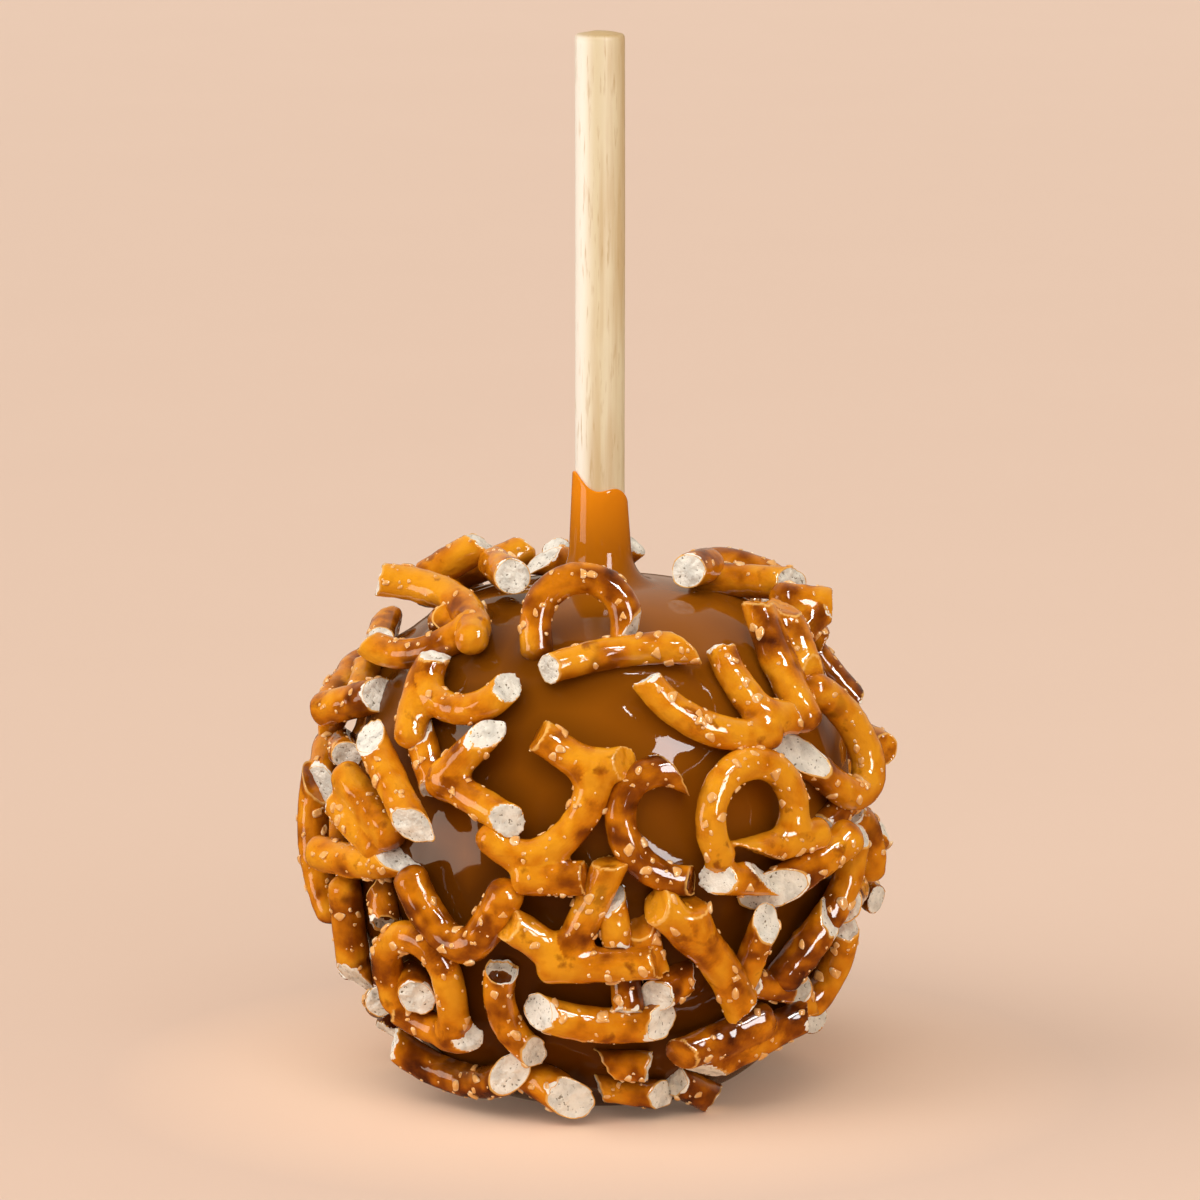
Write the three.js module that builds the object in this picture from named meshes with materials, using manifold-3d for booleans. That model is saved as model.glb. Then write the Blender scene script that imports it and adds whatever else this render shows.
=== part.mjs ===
// A caramel apple on a wooden stick, rolled in broken pretzel pieces.
// Millimetres, +Z up, origin at the middle of the flat base, the front faces -Y.
import * as THREE from "three";
import { mergeVertices } from "three/addons/utils/BufferGeometryUtils.js";
import Module from "manifold-3d";

const wasm = await Module();
wasm.setup();

// Driving dimensions of the stick
const STICK_DIAMETER = 6.35;
const STICK_LENGTH = 114.3;
const STICK_TOP = 136.3;
const STICK_EDGE = 0.6;
const STICK_SIDES = 24;

// Driving dimensions of the caramel-coated apple
const APPLE_RADIUS = 32.5;
const WIDEST_HEIGHT = 34;
const CROWN_HEIGHT = 65.5;
const BELLY_DEPTH = 37;
const SHOULDER_FULLNESS = 2.7;
const BELLY_FULLNESS = 2.3;
const COLLAR_RADIUS = 3.55;
const COLLAR_FLARE = 4.1;
const COLLAR_FOOT = 8;
const COLLAR_SWELL = 0.4;
const COLLAR_START = 70.5;
const COLLAR_TOP = 77.6;
const COLLAR_WAVES = [
  { size: 1.4, count: 1, azimuth: -75 },
  { size: 0.7, count: 3, azimuth: 45 },
];
const APPLE_SIDES = 44;
const SHOULDER_RINGS = 11;
const BELLY_RINGS = 8;
const FLARE_RINGS = 4;

// Driving dimensions of the pretzel pieces
const STRAND_RADIUS = 2.05;
const STRAND_SIDES = 7;
const BEND_PER_STEP = 38;
const LENGTH_PER_STEP = 9;

// Clearances between neighbours and round the stick, and the distance at which vertices are one
const GAP = 0.3;
const STICK_GAP = 0.1;
const WELD = 1e-4;
const SLOPE_STEP = 0.01;
const FLOOR_SIZE = 200;

// Pretzel pieces on the front and the sides, outermost first.
// at: azimuth (0 is the front, positive to the right), height, lift above the caramel,
// then tip (top edge outwards) and swing (right edge outwards) of the piece's own plane.
// limbs: each a walk in that plane: start x, start y, heading, then pairs of length and bend.
const FRONT_PIECES = [
  { name: "arch", at: [-4, 62, 3.2, 45, 0], girth: 0.97, limbs: [[-6.3, -4.5, 95, 3, 0, 18.5, -185, 2, 0]] },
  { name: "rod_left", at: [-46, 43.7, 4.3, 0, 8], girth: 1.12, limbs: [[-5.8, 5, -41, 15, 0]] },
  { name: "ring", at: [35, 39.7, 2.9, 0, 0],
    limbs: [[-6.4, -3.5, 128, 7.5, -60, 20, -178], [8.8, -2.4, -173, 10, 0], [-7.5, -6.3, -7, 8, 0]] },
  { name: "elbow_left", at: [-27, 45.6, 3.1, 0, 8],
    limbs: [[1.8, 5.7, -135, 9.5, 0], [-5.3, -0.7, -21, 12, 0]] },
  { name: "knot_centre", at: [-9, 42.6, 2.5, 0, 0], girth: 1.05,
    limbs: [[-2.4, 9, -32, 8, 0], [4, 4.9, 11, 4.7, 0],
      [4.8, 4.8, -90, 12.3, -60, 8, -85], [-4, -9, 2, 8, 0]] },
  { name: "cross_low", at: [-4, 29.5, 2.3, 0, 0], girth: 1.08,
    limbs: [[-4, -6.9, 4, 13.5, 0], [-1.6, -5.5, 66, 13.5, 0], [-9.5, -1.1, -31, 9, 0]] },
  { name: "slant_right", at: [48, 33, 3.3, 0, 10], girth: 1.2, limbs: [[-6.3, -2, 16, 13.3, 14]] },
  { name: "loop_right", at: [62, 46, 2.7, 0, 14], girth: 1.05,
    limbs: [[-2.7, 8.5, -28, 13, -48, 9, -142, 9.3, -8]] },
  { name: "fork_right", at: [30, 54.8, 2.1, 0, 0],
    limbs: [[-9.9, 2.6, -68, 19, 76], [2, 5.8, -87, 11, 32], [5.2, -4, -6, 4.5, 0]] },
  { name: "bow", at: [20, 23.5, 2.5, 0, 0], girth: 1.22,
    limbs: [[-5.6, 7.8, -34, 20, -32], [-1.2, 7.4, -77, 4.2, 0]] },
  { name: "wye_left", at: [-35, 53.9, 2.3, 0, 0],
    limbs: [[-5.5, 5, -106, 11, 31], [-5.8, 1.5, -56, 15, 120]] },
  { name: "bar", at: [6, 58.6, 1.9, 0, 0], limbs: [[-9.2, -1.1, 21, 17.2, -24]] },
  { name: "strand_right", at: [50, 56, 2.5, 0, 10],
    limbs: [[2.3, 9.2, -106, 17, 17], [5.8, 7.8, -99, 11, 0]] },
  { name: "sickle", at: [11.5, 40.3, 2.1, 0, 0], limbs: [[3, 6.4, 155, 10.2, 112, 14.3, 96]] },
  { name: "arch_low_left", at: [-41, 19.4, 2.5, 0, 0],
    limbs: [[-5.6, -4, 110, 5.5, -25, 15, -170, 9, -25], [-6.6, -4.5, -33, 12.4, 40]] },
  { name: "vee", at: [-32, 30.4, 2.1, 0, 0], girth: 1.12, limbs: [[-6.3, 1.7, -68, 8, 25, 6.5, 95, 7, 10]] },
  { name: "bone", at: [0, 16.5, 2.5, 0, 0], girth: 1.15, limbs: [[-7.6, 0.9, -25, 15.6, 40]] },
  { name: "bar_bottom_left", at: [-43, 8.7, 2.1, 0, 0], girth: 1.1, limbs: [[-10.2, 0.4, -45, 22, 85]] },
  { name: "peg_bottom", at: [-13, 6, 2.6, 0, 28], girth: 1.25, limbs: [[-5.6, 1, -2, 8.5, 0]] },
  { name: "hook_low", at: [-19, 16.9, 2.3, 0, 0], limbs: [[-1.2, 5.8, -113, 6.6, 35, 6.5, 40]] },
  { name: "twin_bottom_right", at: [38, 11.1, 2.1, 0, 0], girth: 1.15,
    limbs: [[-10, 0.1, 10, 12.3, 16], [-5.2, -3.4, 30, 15.8, -11]] },
  { name: "rod_right_low", at: [34, 24.2, 3.1, 15, 0], limbs: [[0.7, 3.8, -100, 8.5, 0]] },
  { name: "rod_right_under", at: [50, 22.5, 2.7, 0, 10], girth: 1.15, limbs: [[2.8, 4, -130, 9.5, 0]] },
  { name: "prop_right", at: [57, 29.5, 2.3, 0, 15], limbs: [[3.6, 6.5, -84, 11.5, -50]] },
  { name: "limb_left_edge", at: [-60, 33.1, 2.5, 0, -15], girth: 1.08, limbs: [[-7.7, -0.6, -7, 15.4, 25]] },
  { name: "hook_left_edge", at: [-80, 33, 1.4, 0, -35], limbs: [[-4.4, 6.7, -105, 17.3, 47]] },
  { name: "rods_left_low", at: [-61, 38, 2.5, 0, -10], girth: 1.08,
    limbs: [[-2.7, 4.8, -31, 11.4, 0], [-5.6, 1.6, -26, 11, 0]] },
  { name: "rod_low_left", at: [-68, 22, 2.1, 0, -15], girth: 1.12, limbs: [[-0.3, 6.6, -99, 12.7, 0]] },
  { name: "strand_right_low", at: [66, 19, 2.1, 0, 25], limbs: [[-0.3, 5.3, -68, 11.6, -63]] },
  { name: "strand_right_edge", at: [75, 33, 2.1, 0, 30], limbs: [[-3, 4.5, -19, 10.5, -82]] },
  { name: "rod_top_right", at: [70, 62, 3.7, -25, 0], girth: 1.1, limbs: [[4.7, 9.4, -76, 11.5, 0]] },
  { name: "peg_top_right", at: [75, 64.4, 3, 0, 0], girth: 1.1, limbs: [[3.5, 0.8, 170, 6, 0]] },
  { name: "far_top_right", at: [80, 57, 3.7, 0, 45],
    limbs: [[-1.5, 7.2, -43, 7, 0], [-3.6, 2.3, 5, 5.5, 0]] },
  { name: "rod_top_left", at: [-55, 61, 3.2, -25, -15], girth: 1.1, limbs: [[-12.4, -1.9, 50, 22.5, -98]] },
  { name: "wedge_top_left", at: [-95, 63, 4.6, 10, 0], girth: 1.12, limbs: [[0, -3, 90, 8.5, 0]] },
  { name: "peg_top_left", at: [-64, 64.4, 3.4, 0, 0], girth: 1.12, limbs: [[-4.5, 1.3, -10, 9, 0]] },
  { name: "strand_left_high", at: [-60, 57, 2.5, 0, -15], limbs: [[-6.4, -0.8, -8, 17, 80]] },
  { name: "rod_left_edge", at: [-75, 49, 2.3, 0, -30], girth: 1.08, limbs: [[-4.8, -0.7, 27, 10, 0]] },
];

// Kinds of piece that the back is covered with, each a set of limbs round its own middle
const BACK_KINDS = [
  [[-6.5, -5, 90, 5, 0, 17, -165, 5, 0]],
  [[-9, -1, 15, 18, -30], [-1, 1, -75, 9, 15]],
  [[-7.5, 4.5, -60, 9, 15, 6.5, 95, 8, 10]],
  [[-6.4, -3.5, 128, 7.5, -60, 20, -178], [7.5, -2.4, -173, 9, 0], [-7.5, -5.6, -7, 8, 0]],
  [[-9.5, 1, -15, 19, 30]],
  [[-5, 7, -60, 11, 20], [-6, -5, 40, 14, -25], [3, -1, -40, 7, 0]],
];
const BACK_ROWS = [
  { height: 60.5, count: 3, from: 132, to: 238 },
  { height: 50, count: 5, from: 122, to: 262 },
  { height: 37, count: 5, from: 109, to: 259 },
  { height: 24, count: 4, from: 104, to: 256 },
  { height: 11, count: 3, from: 112, to: 244 },
];
const BACK_TURNS = [0, 140, 75, 215, 300, 30, 180];
const BACK_LIFT = 2.4;
const BACK_SCALE = 1.15;
const BACK_WANDER = { azimuth: 4, height: 1.6, tilt: 8, turn: 20 };
const BACK_SEED = 11;

// Short broken ends and stubs between the pieces, fused to the caramel that holds them.
// Each is azimuth, height, heading, length, rise out of the caramel, and girth where it isn't 1.
const STUBS = [
  [-41, 46.7, -59, 7.5, 0], [-54, 27.7, -62, 6, 15], [3, 28.2, -82, 6, 5],
  [10, 25, -74, 7.5, 8], [16, 20, 195, 6, 30, 1.15], [6, 19.1, -85, 5, 25], [9, 5.2, 0, 8, 12],
  [7, 9.3, 3, 5.5, 10], [31, 4.6, -28, 8, 12], [42, 18.3, -16, 8, 5], [56, 14.8, -52, 6, 10],
  [-60, 61, 0, 5, 20], [-80, 53, -30, 7, 5], [-78, 44.5, 0, 7.5, 5],
  [-84, 56.5, 10, 6, 20], [-142, 65.2, 0, 6, 8], [68, 27.2, 180, 9, 12, 1.3],
  [-54, 48, -61, 8, 4], [62, 38.5, 30, 7, 12], [-72, 13, 20, 8, 6],
  [-46.5, 18, -5, 7, 42, 1.25], [-30, 17, -30, 6, 45, 1.1],
];
const BACK_STUBS = { count: 33, from: 108, to: 274, low: 8, high: 62, length: 9, spread: 2, rise: 9 };
const STUB_SHARE = 0.6;
const STUB_LIFT = 1.6;
const STUB_RADIUS = 2;
const STUB_SIDES = 6;

// Even spreading, and the numbers behind the draws
const GOLDEN_SHARE = 0.618034;
const DRAW_FACTOR = 16807;
const DRAW_RANGE = 2147483647;

const rad = THREE.MathUtils.degToRad;

// Radius of the caramel at a height, a superellipse that is fuller at the shoulder than at the belly
function appleRadius(height, grow = 0) {
  const above = height > WIDEST_HEIGHT;
  const reach = (above ? CROWN_HEIGHT - WIDEST_HEIGHT : BELLY_DEPTH) + grow;
  const fullness = above ? SHOULDER_FULLNESS : BELLY_FULLNESS;
  const share = Math.min(1, Math.abs(height - WIDEST_HEIGHT) / reach);
  return (APPLE_RADIUS + grow) * (1 - share ** fullness) ** (1 / fullness);
}

// Height of the shoulder at a radius, the same superellipse read the other way
function shoulderHeight(radius, grow = 0) {
  const share = radius / (APPLE_RADIUS + grow);
  const rise = (1 - share ** SHOULDER_FULLNESS) ** (1 / SHOULDER_FULLNESS);
  return WIDEST_HEIGHT + (CROWN_HEIGHT - WIDEST_HEIGHT + grow) * rise;
}

// Profile from the base to the rim of the collar on the stick
function appleProfile(grow = 0) {
  const points = [new THREE.Vector2(0, -grow), new THREE.Vector2(appleRadius(0, grow), -grow)];
  for (let ring = 1; ring <= BELLY_RINGS; ring += 1) {
    const height = WIDEST_HEIGHT * (1 - Math.cos((ring / BELLY_RINGS) * (Math.PI / 2)));
    points.push(new THREE.Vector2(appleRadius(height, grow), height));
  }
  for (let ring = 1; ring <= SHOULDER_RINGS; ring += 1) {
    const turn = (ring / SHOULDER_RINGS) * (Math.PI / 2);
    const radius = COLLAR_FOOT + (APPLE_RADIUS + grow - COLLAR_FOOT) * Math.cos(turn);
    points.push(new THREE.Vector2(radius, shoulderHeight(radius, grow)));
  }
  const foot = points.at(-1);
  const flare = new THREE.QuadraticBezierCurve(
    foot, new THREE.Vector2(COLLAR_FLARE + grow, CROWN_HEIGHT + grow),
    new THREE.Vector2(COLLAR_RADIUS + COLLAR_SWELL + grow, COLLAR_START + grow));
  points.push(...flare.getPoints(FLARE_RINGS).slice(1));
  points.push(new THREE.Vector2(COLLAR_RADIUS + grow, COLLAR_TOP + grow));
  return points;
}

// The collar's rim runs higher on one side of the stick than on the other
function waveRim(geometry, grow = 0) {
  const position = geometry.attributes.position;
  for (let i = 0; i < position.count; i += 1) {
    const share = (position.getZ(i) - COLLAR_START - grow) / (COLLAR_TOP - COLLAR_START);
    if (share > 0) {
      const azimuth = Math.atan2(position.getX(i), -position.getY(i));
      const wave = COLLAR_WAVES.reduce(
        (sum, w) => sum + w.size * Math.cos(w.count * (azimuth - rad(w.azimuth))), 0);
      position.setZ(i, position.getZ(i) + share * wave);
    }
  }
  return geometry;
}

function lathe(points, sides) {
  return new THREE.LatheGeometry(points, sides).rotateX(Math.PI / 2);
}

// Closed three.js geometry to a solid for joining and cutting, and back
function solidOf(geometry) {
  const bare = geometry.clone();
  bare.deleteAttribute("normal");
  bare.deleteAttribute("uv");
  const merged = mergeVertices(bare, WELD);
  return new wasm.Manifold(new wasm.Mesh({
    numProp: 3,
    vertProperties: new Float32Array(merged.attributes.position.array),
    triVerts: new Uint32Array(merged.index.array),
  }));
}

function geometryOf(solid) {
  const mesh = solid.getMesh();
  const geometry = new THREE.BufferGeometry();
  geometry.setAttribute("position", new THREE.BufferAttribute(mesh.vertProperties, 3));
  geometry.setIndex(new THREE.BufferAttribute(mesh.triVerts, 1));
  geometry.computeVertexNormals();
  return geometry;
}

function largestBody(solid) {
  return solid.decompose().reduce((best, body) => (body.volume() > best.volume() ? body : best));
}

// Place of a piece on the caramel: x to the right, y up the slope, z straight out
function placeOnApple([azimuth, height, lift, tip = 0, swing = 0, turned = 0]) {
  const turn = rad(azimuth);
  const outward = new THREE.Vector3(Math.sin(turn), -Math.cos(turn), 0);
  const right = new THREE.Vector3(Math.cos(turn), Math.sin(turn), 0);
  const slope = (appleRadius(height + SLOPE_STEP) - appleRadius(height - SLOPE_STEP)) / (2 * SLOPE_STEP);
  const up = outward.clone().multiplyScalar(slope).add(new THREE.Vector3(0, 0, 1)).normalize();
  const out = right.clone().cross(up);
  const point = outward.clone().multiplyScalar(appleRadius(height)).setZ(height).addScaledVector(out, lift);
  return new THREE.Matrix4().makeBasis(right, up, out).setPosition(point)
    .multiply(new THREE.Matrix4().makeRotationX(rad(tip)))
    .multiply(new THREE.Matrix4().makeRotationY(rad(-swing)))
    .multiply(new THREE.Matrix4().makeRotationZ(rad(turned)));
}

// Steps that a bend over a length is divided into
function stepsFor(bend, length) {
  return Math.max(1, Math.ceil(bend / BEND_PER_STEP), Math.ceil(length / LENGTH_PER_STEP));
}

// Middle line of a limb: arcs end to end in the piece's plane, longer by grow at both ends
function limbCurve([x, y, heading, ...walk], grow) {
  let turn = rad(heading);
  const point = new THREE.Vector3(x - grow * Math.cos(turn), y - grow * Math.sin(turn), 0);
  const points = [point.clone()];
  let bends = 0;
  let length = 0;
  for (let i = 0; i < walk.length; i += 2) {
    const last = i + 2 === walk.length;
    const run = walk[i] + (i === 0 ? grow : 0) + (last ? grow : 0);
    const parts = stepsFor(Math.abs(walk[i + 1]), run);
    for (let part = 0; part < parts; part += 1) {
      turn += rad(walk[i + 1]) / parts / 2;
      point.x += (run / parts) * Math.cos(turn);
      point.y += (run / parts) * Math.sin(turn);
      points.push(point.clone());
      turn += rad(walk[i + 1]) / parts / 2;
    }
    bends += Math.abs(walk[i + 1]);
    length += run;
  }
  const steps = bends ? Math.max(2, stepsFor(bends, length)) : 1;
  return { curve: new THREE.CatmullRomCurve3(points), steps };
}

function limbSolid(limb, radius, sides, grow) {
  const outline = [];
  for (let i = 0; i < sides; i += 1) {
    const turn = (2 * Math.PI * i) / sides;
    outline.push(new THREE.Vector2((radius + grow) * Math.cos(turn), (radius + grow) * Math.sin(turn)));
  }
  const { curve, steps } = limbCurve(limb, grow);
  return solidOf(new THREE.ExtrudeGeometry(new THREE.Shape(outline), { steps, extrudePath: curve }));
}

function pieceSolid(piece, grow = 0) {
  const radius = STRAND_RADIUS * (piece.girth ?? 1);
  return piece.limbs
    .map((limb) => limbSolid(limb, radius, STRAND_SIDES, grow))
    .reduce((whole, limb) => whole.add(limb))
    .transform(placeOnApple(piece.at).elements);
}

function finish(color, roughness) {
  return new THREE.MeshStandardMaterial({ color, roughness, metalness: 0 });
}

const caramel = finish(0x96500a, 0.15);
const crust = finish(0xc87814, 0.3);
const birch = finish(0xead9ae, 0.7);

function makeStick() {
  const radius = STICK_DIAMETER / 2;
  const foot = STICK_TOP - STICK_LENGTH;
  const profile = [
    [0, foot], [radius, foot], [radius, STICK_TOP - 1.5 * STICK_EDGE],
    [radius - STICK_EDGE / 2, STICK_TOP - STICK_EDGE / 2], [0, STICK_TOP],
  ].map(([x, y]) => new THREE.Vector2(x, y));
  const stick = new THREE.Mesh(lathe(profile, STICK_SIDES), birch);
  stick.name = "stick";
  return stick;
}

// Caramel and the apple inside it as one solid, with the stubs that it holds
function makeCaramelApple(placed) {
  const bore = STICK_DIAMETER / 2 + STICK_GAP;
  const profile = appleProfile();
  profile.push(new THREE.Vector2(bore, COLLAR_TOP));
  profile.push(new THREE.Vector2(bore, STICK_TOP - STICK_LENGTH - GAP));
  profile.push(new THREE.Vector2(0, STICK_TOP - STICK_LENGTH - GAP));
  let solid = solidOf(waveRim(lathe(profile, APPLE_SIDES)));
  for (const stub of makeStubs()) {
    const whole = stubSolid(stub);
    const free = placed.reduce((rest, other) => rest.subtract(other), whole.subtract(floor));
    if (free.volume() > STUB_SHARE * whole.volume()) {
      solid = solid.add(free);
      placed.push(whole);
    }
  }
  const apple = new THREE.Mesh(geometryOf(largestBody(solid)), caramel);
  apple.name = "caramel_apple";
  return apple;
}

// Even draws between -1 and 1, the same every time
function makeDraw(seed) {
  let state = seed;
  return () => {
    state = (state * DRAW_FACTOR) % DRAW_RANGE;
    return (state / DRAW_RANGE) * 2 - 1;
  };
}

// A limb with its start and lengths scaled, and its heading and bends kept
function scaleLimb([x, y, heading, ...walk], scale) {
  return [x * scale, y * scale, heading, ...walk.map((value, i) => (i % 2 ? value : value * scale))];
}

// Rows of pieces round the back, the kinds in turn, each wandering a little from its place
function makeBackPieces() {
  const draw = makeDraw(BACK_SEED);
  const pieces = [];
  for (const row of BACK_ROWS) {
    for (let i = 0; i < row.count; i += 1) {
      const number = pieces.length;
      const azimuth = row.from + ((row.to - row.from) * i) / (row.count - 1) + BACK_WANDER.azimuth * draw();
      const height = row.height + BACK_WANDER.height * draw();
      const tip = BACK_WANDER.tilt * draw();
      const swing = BACK_WANDER.tilt * draw();
      const turned = BACK_TURNS[number % BACK_TURNS.length] + BACK_WANDER.turn * draw();
      pieces.push({
        name: `back_${String(number + 1).padStart(2, "0")}`,
        at: [azimuth, height, BACK_LIFT, tip, swing, turned],
        limbs: BACK_KINDS[number % BACK_KINDS.length].map((limb) => scaleLimb(limb, BACK_SCALE)),
      });
    }
  }
  return pieces;
}

// Stubs named on the front, and more spread evenly over the back
function makeStubs() {
  const draw = makeDraw(BACK_SEED);
  const stubs = [...STUBS];
  const { count, from, to, low, high, length, spread, rise } = BACK_STUBS;
  for (let i = 0; i < count; i += 1) {
    const azimuth = from + (to - from) * ((i * GOLDEN_SHARE) % 1);
    const height = low + ((high - low) * (i + 0.5)) / count;
    stubs.push([azimuth, height, 180 * draw(), length + spread * draw(), rise * (1 + draw())]);
  }
  return stubs;
}

function stubSolid([azimuth, height, heading, length, rise, girth = 1]) {
  const place = placeOnApple([azimuth, height, STUB_LIFT, 0, 0, heading]);
  const tilt = new THREE.Matrix4().makeRotationY(rad(-rise));
  return limbSolid([-length / 2, 0, 0, length, 0], STUB_RADIUS * girth, STUB_SIDES, 0)
    .transform(place.multiply(tilt).elements);
}

const outer = appleProfile(GAP);
outer.push(new THREE.Vector2(0, COLLAR_TOP + GAP));
const keepOut = solidOf(waveRim(lathe(outer, APPLE_SIDES), GAP));
const slab = new THREE.BoxGeometry(FLOOR_SIZE, FLOOR_SIZE, FLOOR_SIZE);
const floor = solidOf(slab.translate(0, 0, -FLOOR_SIZE / 2));

const caramelApple = new THREE.Group();
const placed = [];
for (const piece of [...FRONT_PIECES, ...makeBackPieces()]) {
  const place = placeOnApple(piece.at);
  const bare = pieceSolid(piece).subtract(keepOut).subtract(floor);
  const trimmed = placed.reduce((solid, other) => solid.subtract(other), bare);
  const local = largestBody(trimmed).transform(place.clone().invert().elements);
  const mesh = new THREE.Mesh(geometryOf(local), crust);
  mesh.name = `pretzel_${piece.name}`;
  mesh.applyMatrix4(place);
  caramelApple.add(mesh);
  placed.push(pieceSolid(piece, GAP).add(pieceSolid(piece)));
}
caramelApple.add(makeStick(), makeCaramelApple(placed));

export default caramelApple;
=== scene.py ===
"""Dresses a caramel apple's solids with caramel, baked pretzel pieces, salt and a wooden stick."""

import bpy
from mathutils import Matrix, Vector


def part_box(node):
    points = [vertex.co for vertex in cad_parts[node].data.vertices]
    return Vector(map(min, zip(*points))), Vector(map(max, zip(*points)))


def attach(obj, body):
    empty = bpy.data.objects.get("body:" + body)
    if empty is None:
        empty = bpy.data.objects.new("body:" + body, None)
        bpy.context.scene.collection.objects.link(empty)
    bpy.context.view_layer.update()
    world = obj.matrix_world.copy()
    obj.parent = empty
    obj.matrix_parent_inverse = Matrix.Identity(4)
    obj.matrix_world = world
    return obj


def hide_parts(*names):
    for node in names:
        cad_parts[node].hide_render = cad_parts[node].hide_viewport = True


bl_info = {
    "name": "Pretzel Caramel Apple",
    "version": (1, 0, 0),
    "blender": (4, 5, 0),
    "location": "View3D > Sidebar > Caramel Apple",
    "description": "Caramel apple on a stick, rolled in broken salted pretzel pieces",
    "category": "Object",
}

import functools
import math
from dataclasses import dataclass

import bpy
import numpy as np
from bpy.props import FloatProperty, FloatVectorProperty, PointerProperty
from bpy.types import Operator, Panel, PropertyGroup
from mathutils import Matrix, Vector, kdtree
from mathutils.bvhtree import BVHTree

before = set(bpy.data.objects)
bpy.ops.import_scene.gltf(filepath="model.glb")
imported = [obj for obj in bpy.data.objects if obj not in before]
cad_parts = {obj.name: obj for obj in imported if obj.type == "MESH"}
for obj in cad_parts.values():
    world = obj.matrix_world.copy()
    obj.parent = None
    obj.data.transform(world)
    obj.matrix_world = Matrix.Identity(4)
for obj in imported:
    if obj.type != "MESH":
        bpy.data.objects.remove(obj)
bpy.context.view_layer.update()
BODY = "root"

# Sizes below are in millimetres and degrees, and meshes are scaled to metres as they are made
MM = 0.001

# Form of the caramel-coated apple
APPLE_RADIUS = 32.5
WIDEST_HEIGHT = 34
CROWN_HEIGHT = 65.5
BELLY_DEPTH = 37
SHOULDER_FULLNESS = 2.7
BELLY_FULLNESS = 2.3
SLOPE_STEP = 0.01

# Form of the caramel's collar on the stick
COLLAR_RADIUS = 3.55
COLLAR_FLARE = 4.1
COLLAR_FOOT = 8
COLLAR_SWELL = 0.4
COLLAR_START = 70.5
COLLAR_TOP = 77.6
COLLAR_WAVES = ((1.4, 1, -75), (0.7, 3, 45))
BORE_RADIUS = 3.2
BORE_FOOT = 21.7
BORE_SLACK = 0.01
RIM_RISE = 1.1

# How an end of a limb is broken: lean of the break, the way that it faces, and its kind.
# The way is in degrees round the limb: 0 is left of the walk, 90 is straight out from the apple.
FRESH = "fresh"
GLAZED = "glazed"
HOLLOW = "hollow"
ROUND = "round"
BLUNT = (12, 90, ROUND)
RAGGED_SHARES = {FRESH: 1, HOLLOW: 1, GLAZED: 0.8, ROUND: 0.1}

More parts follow.
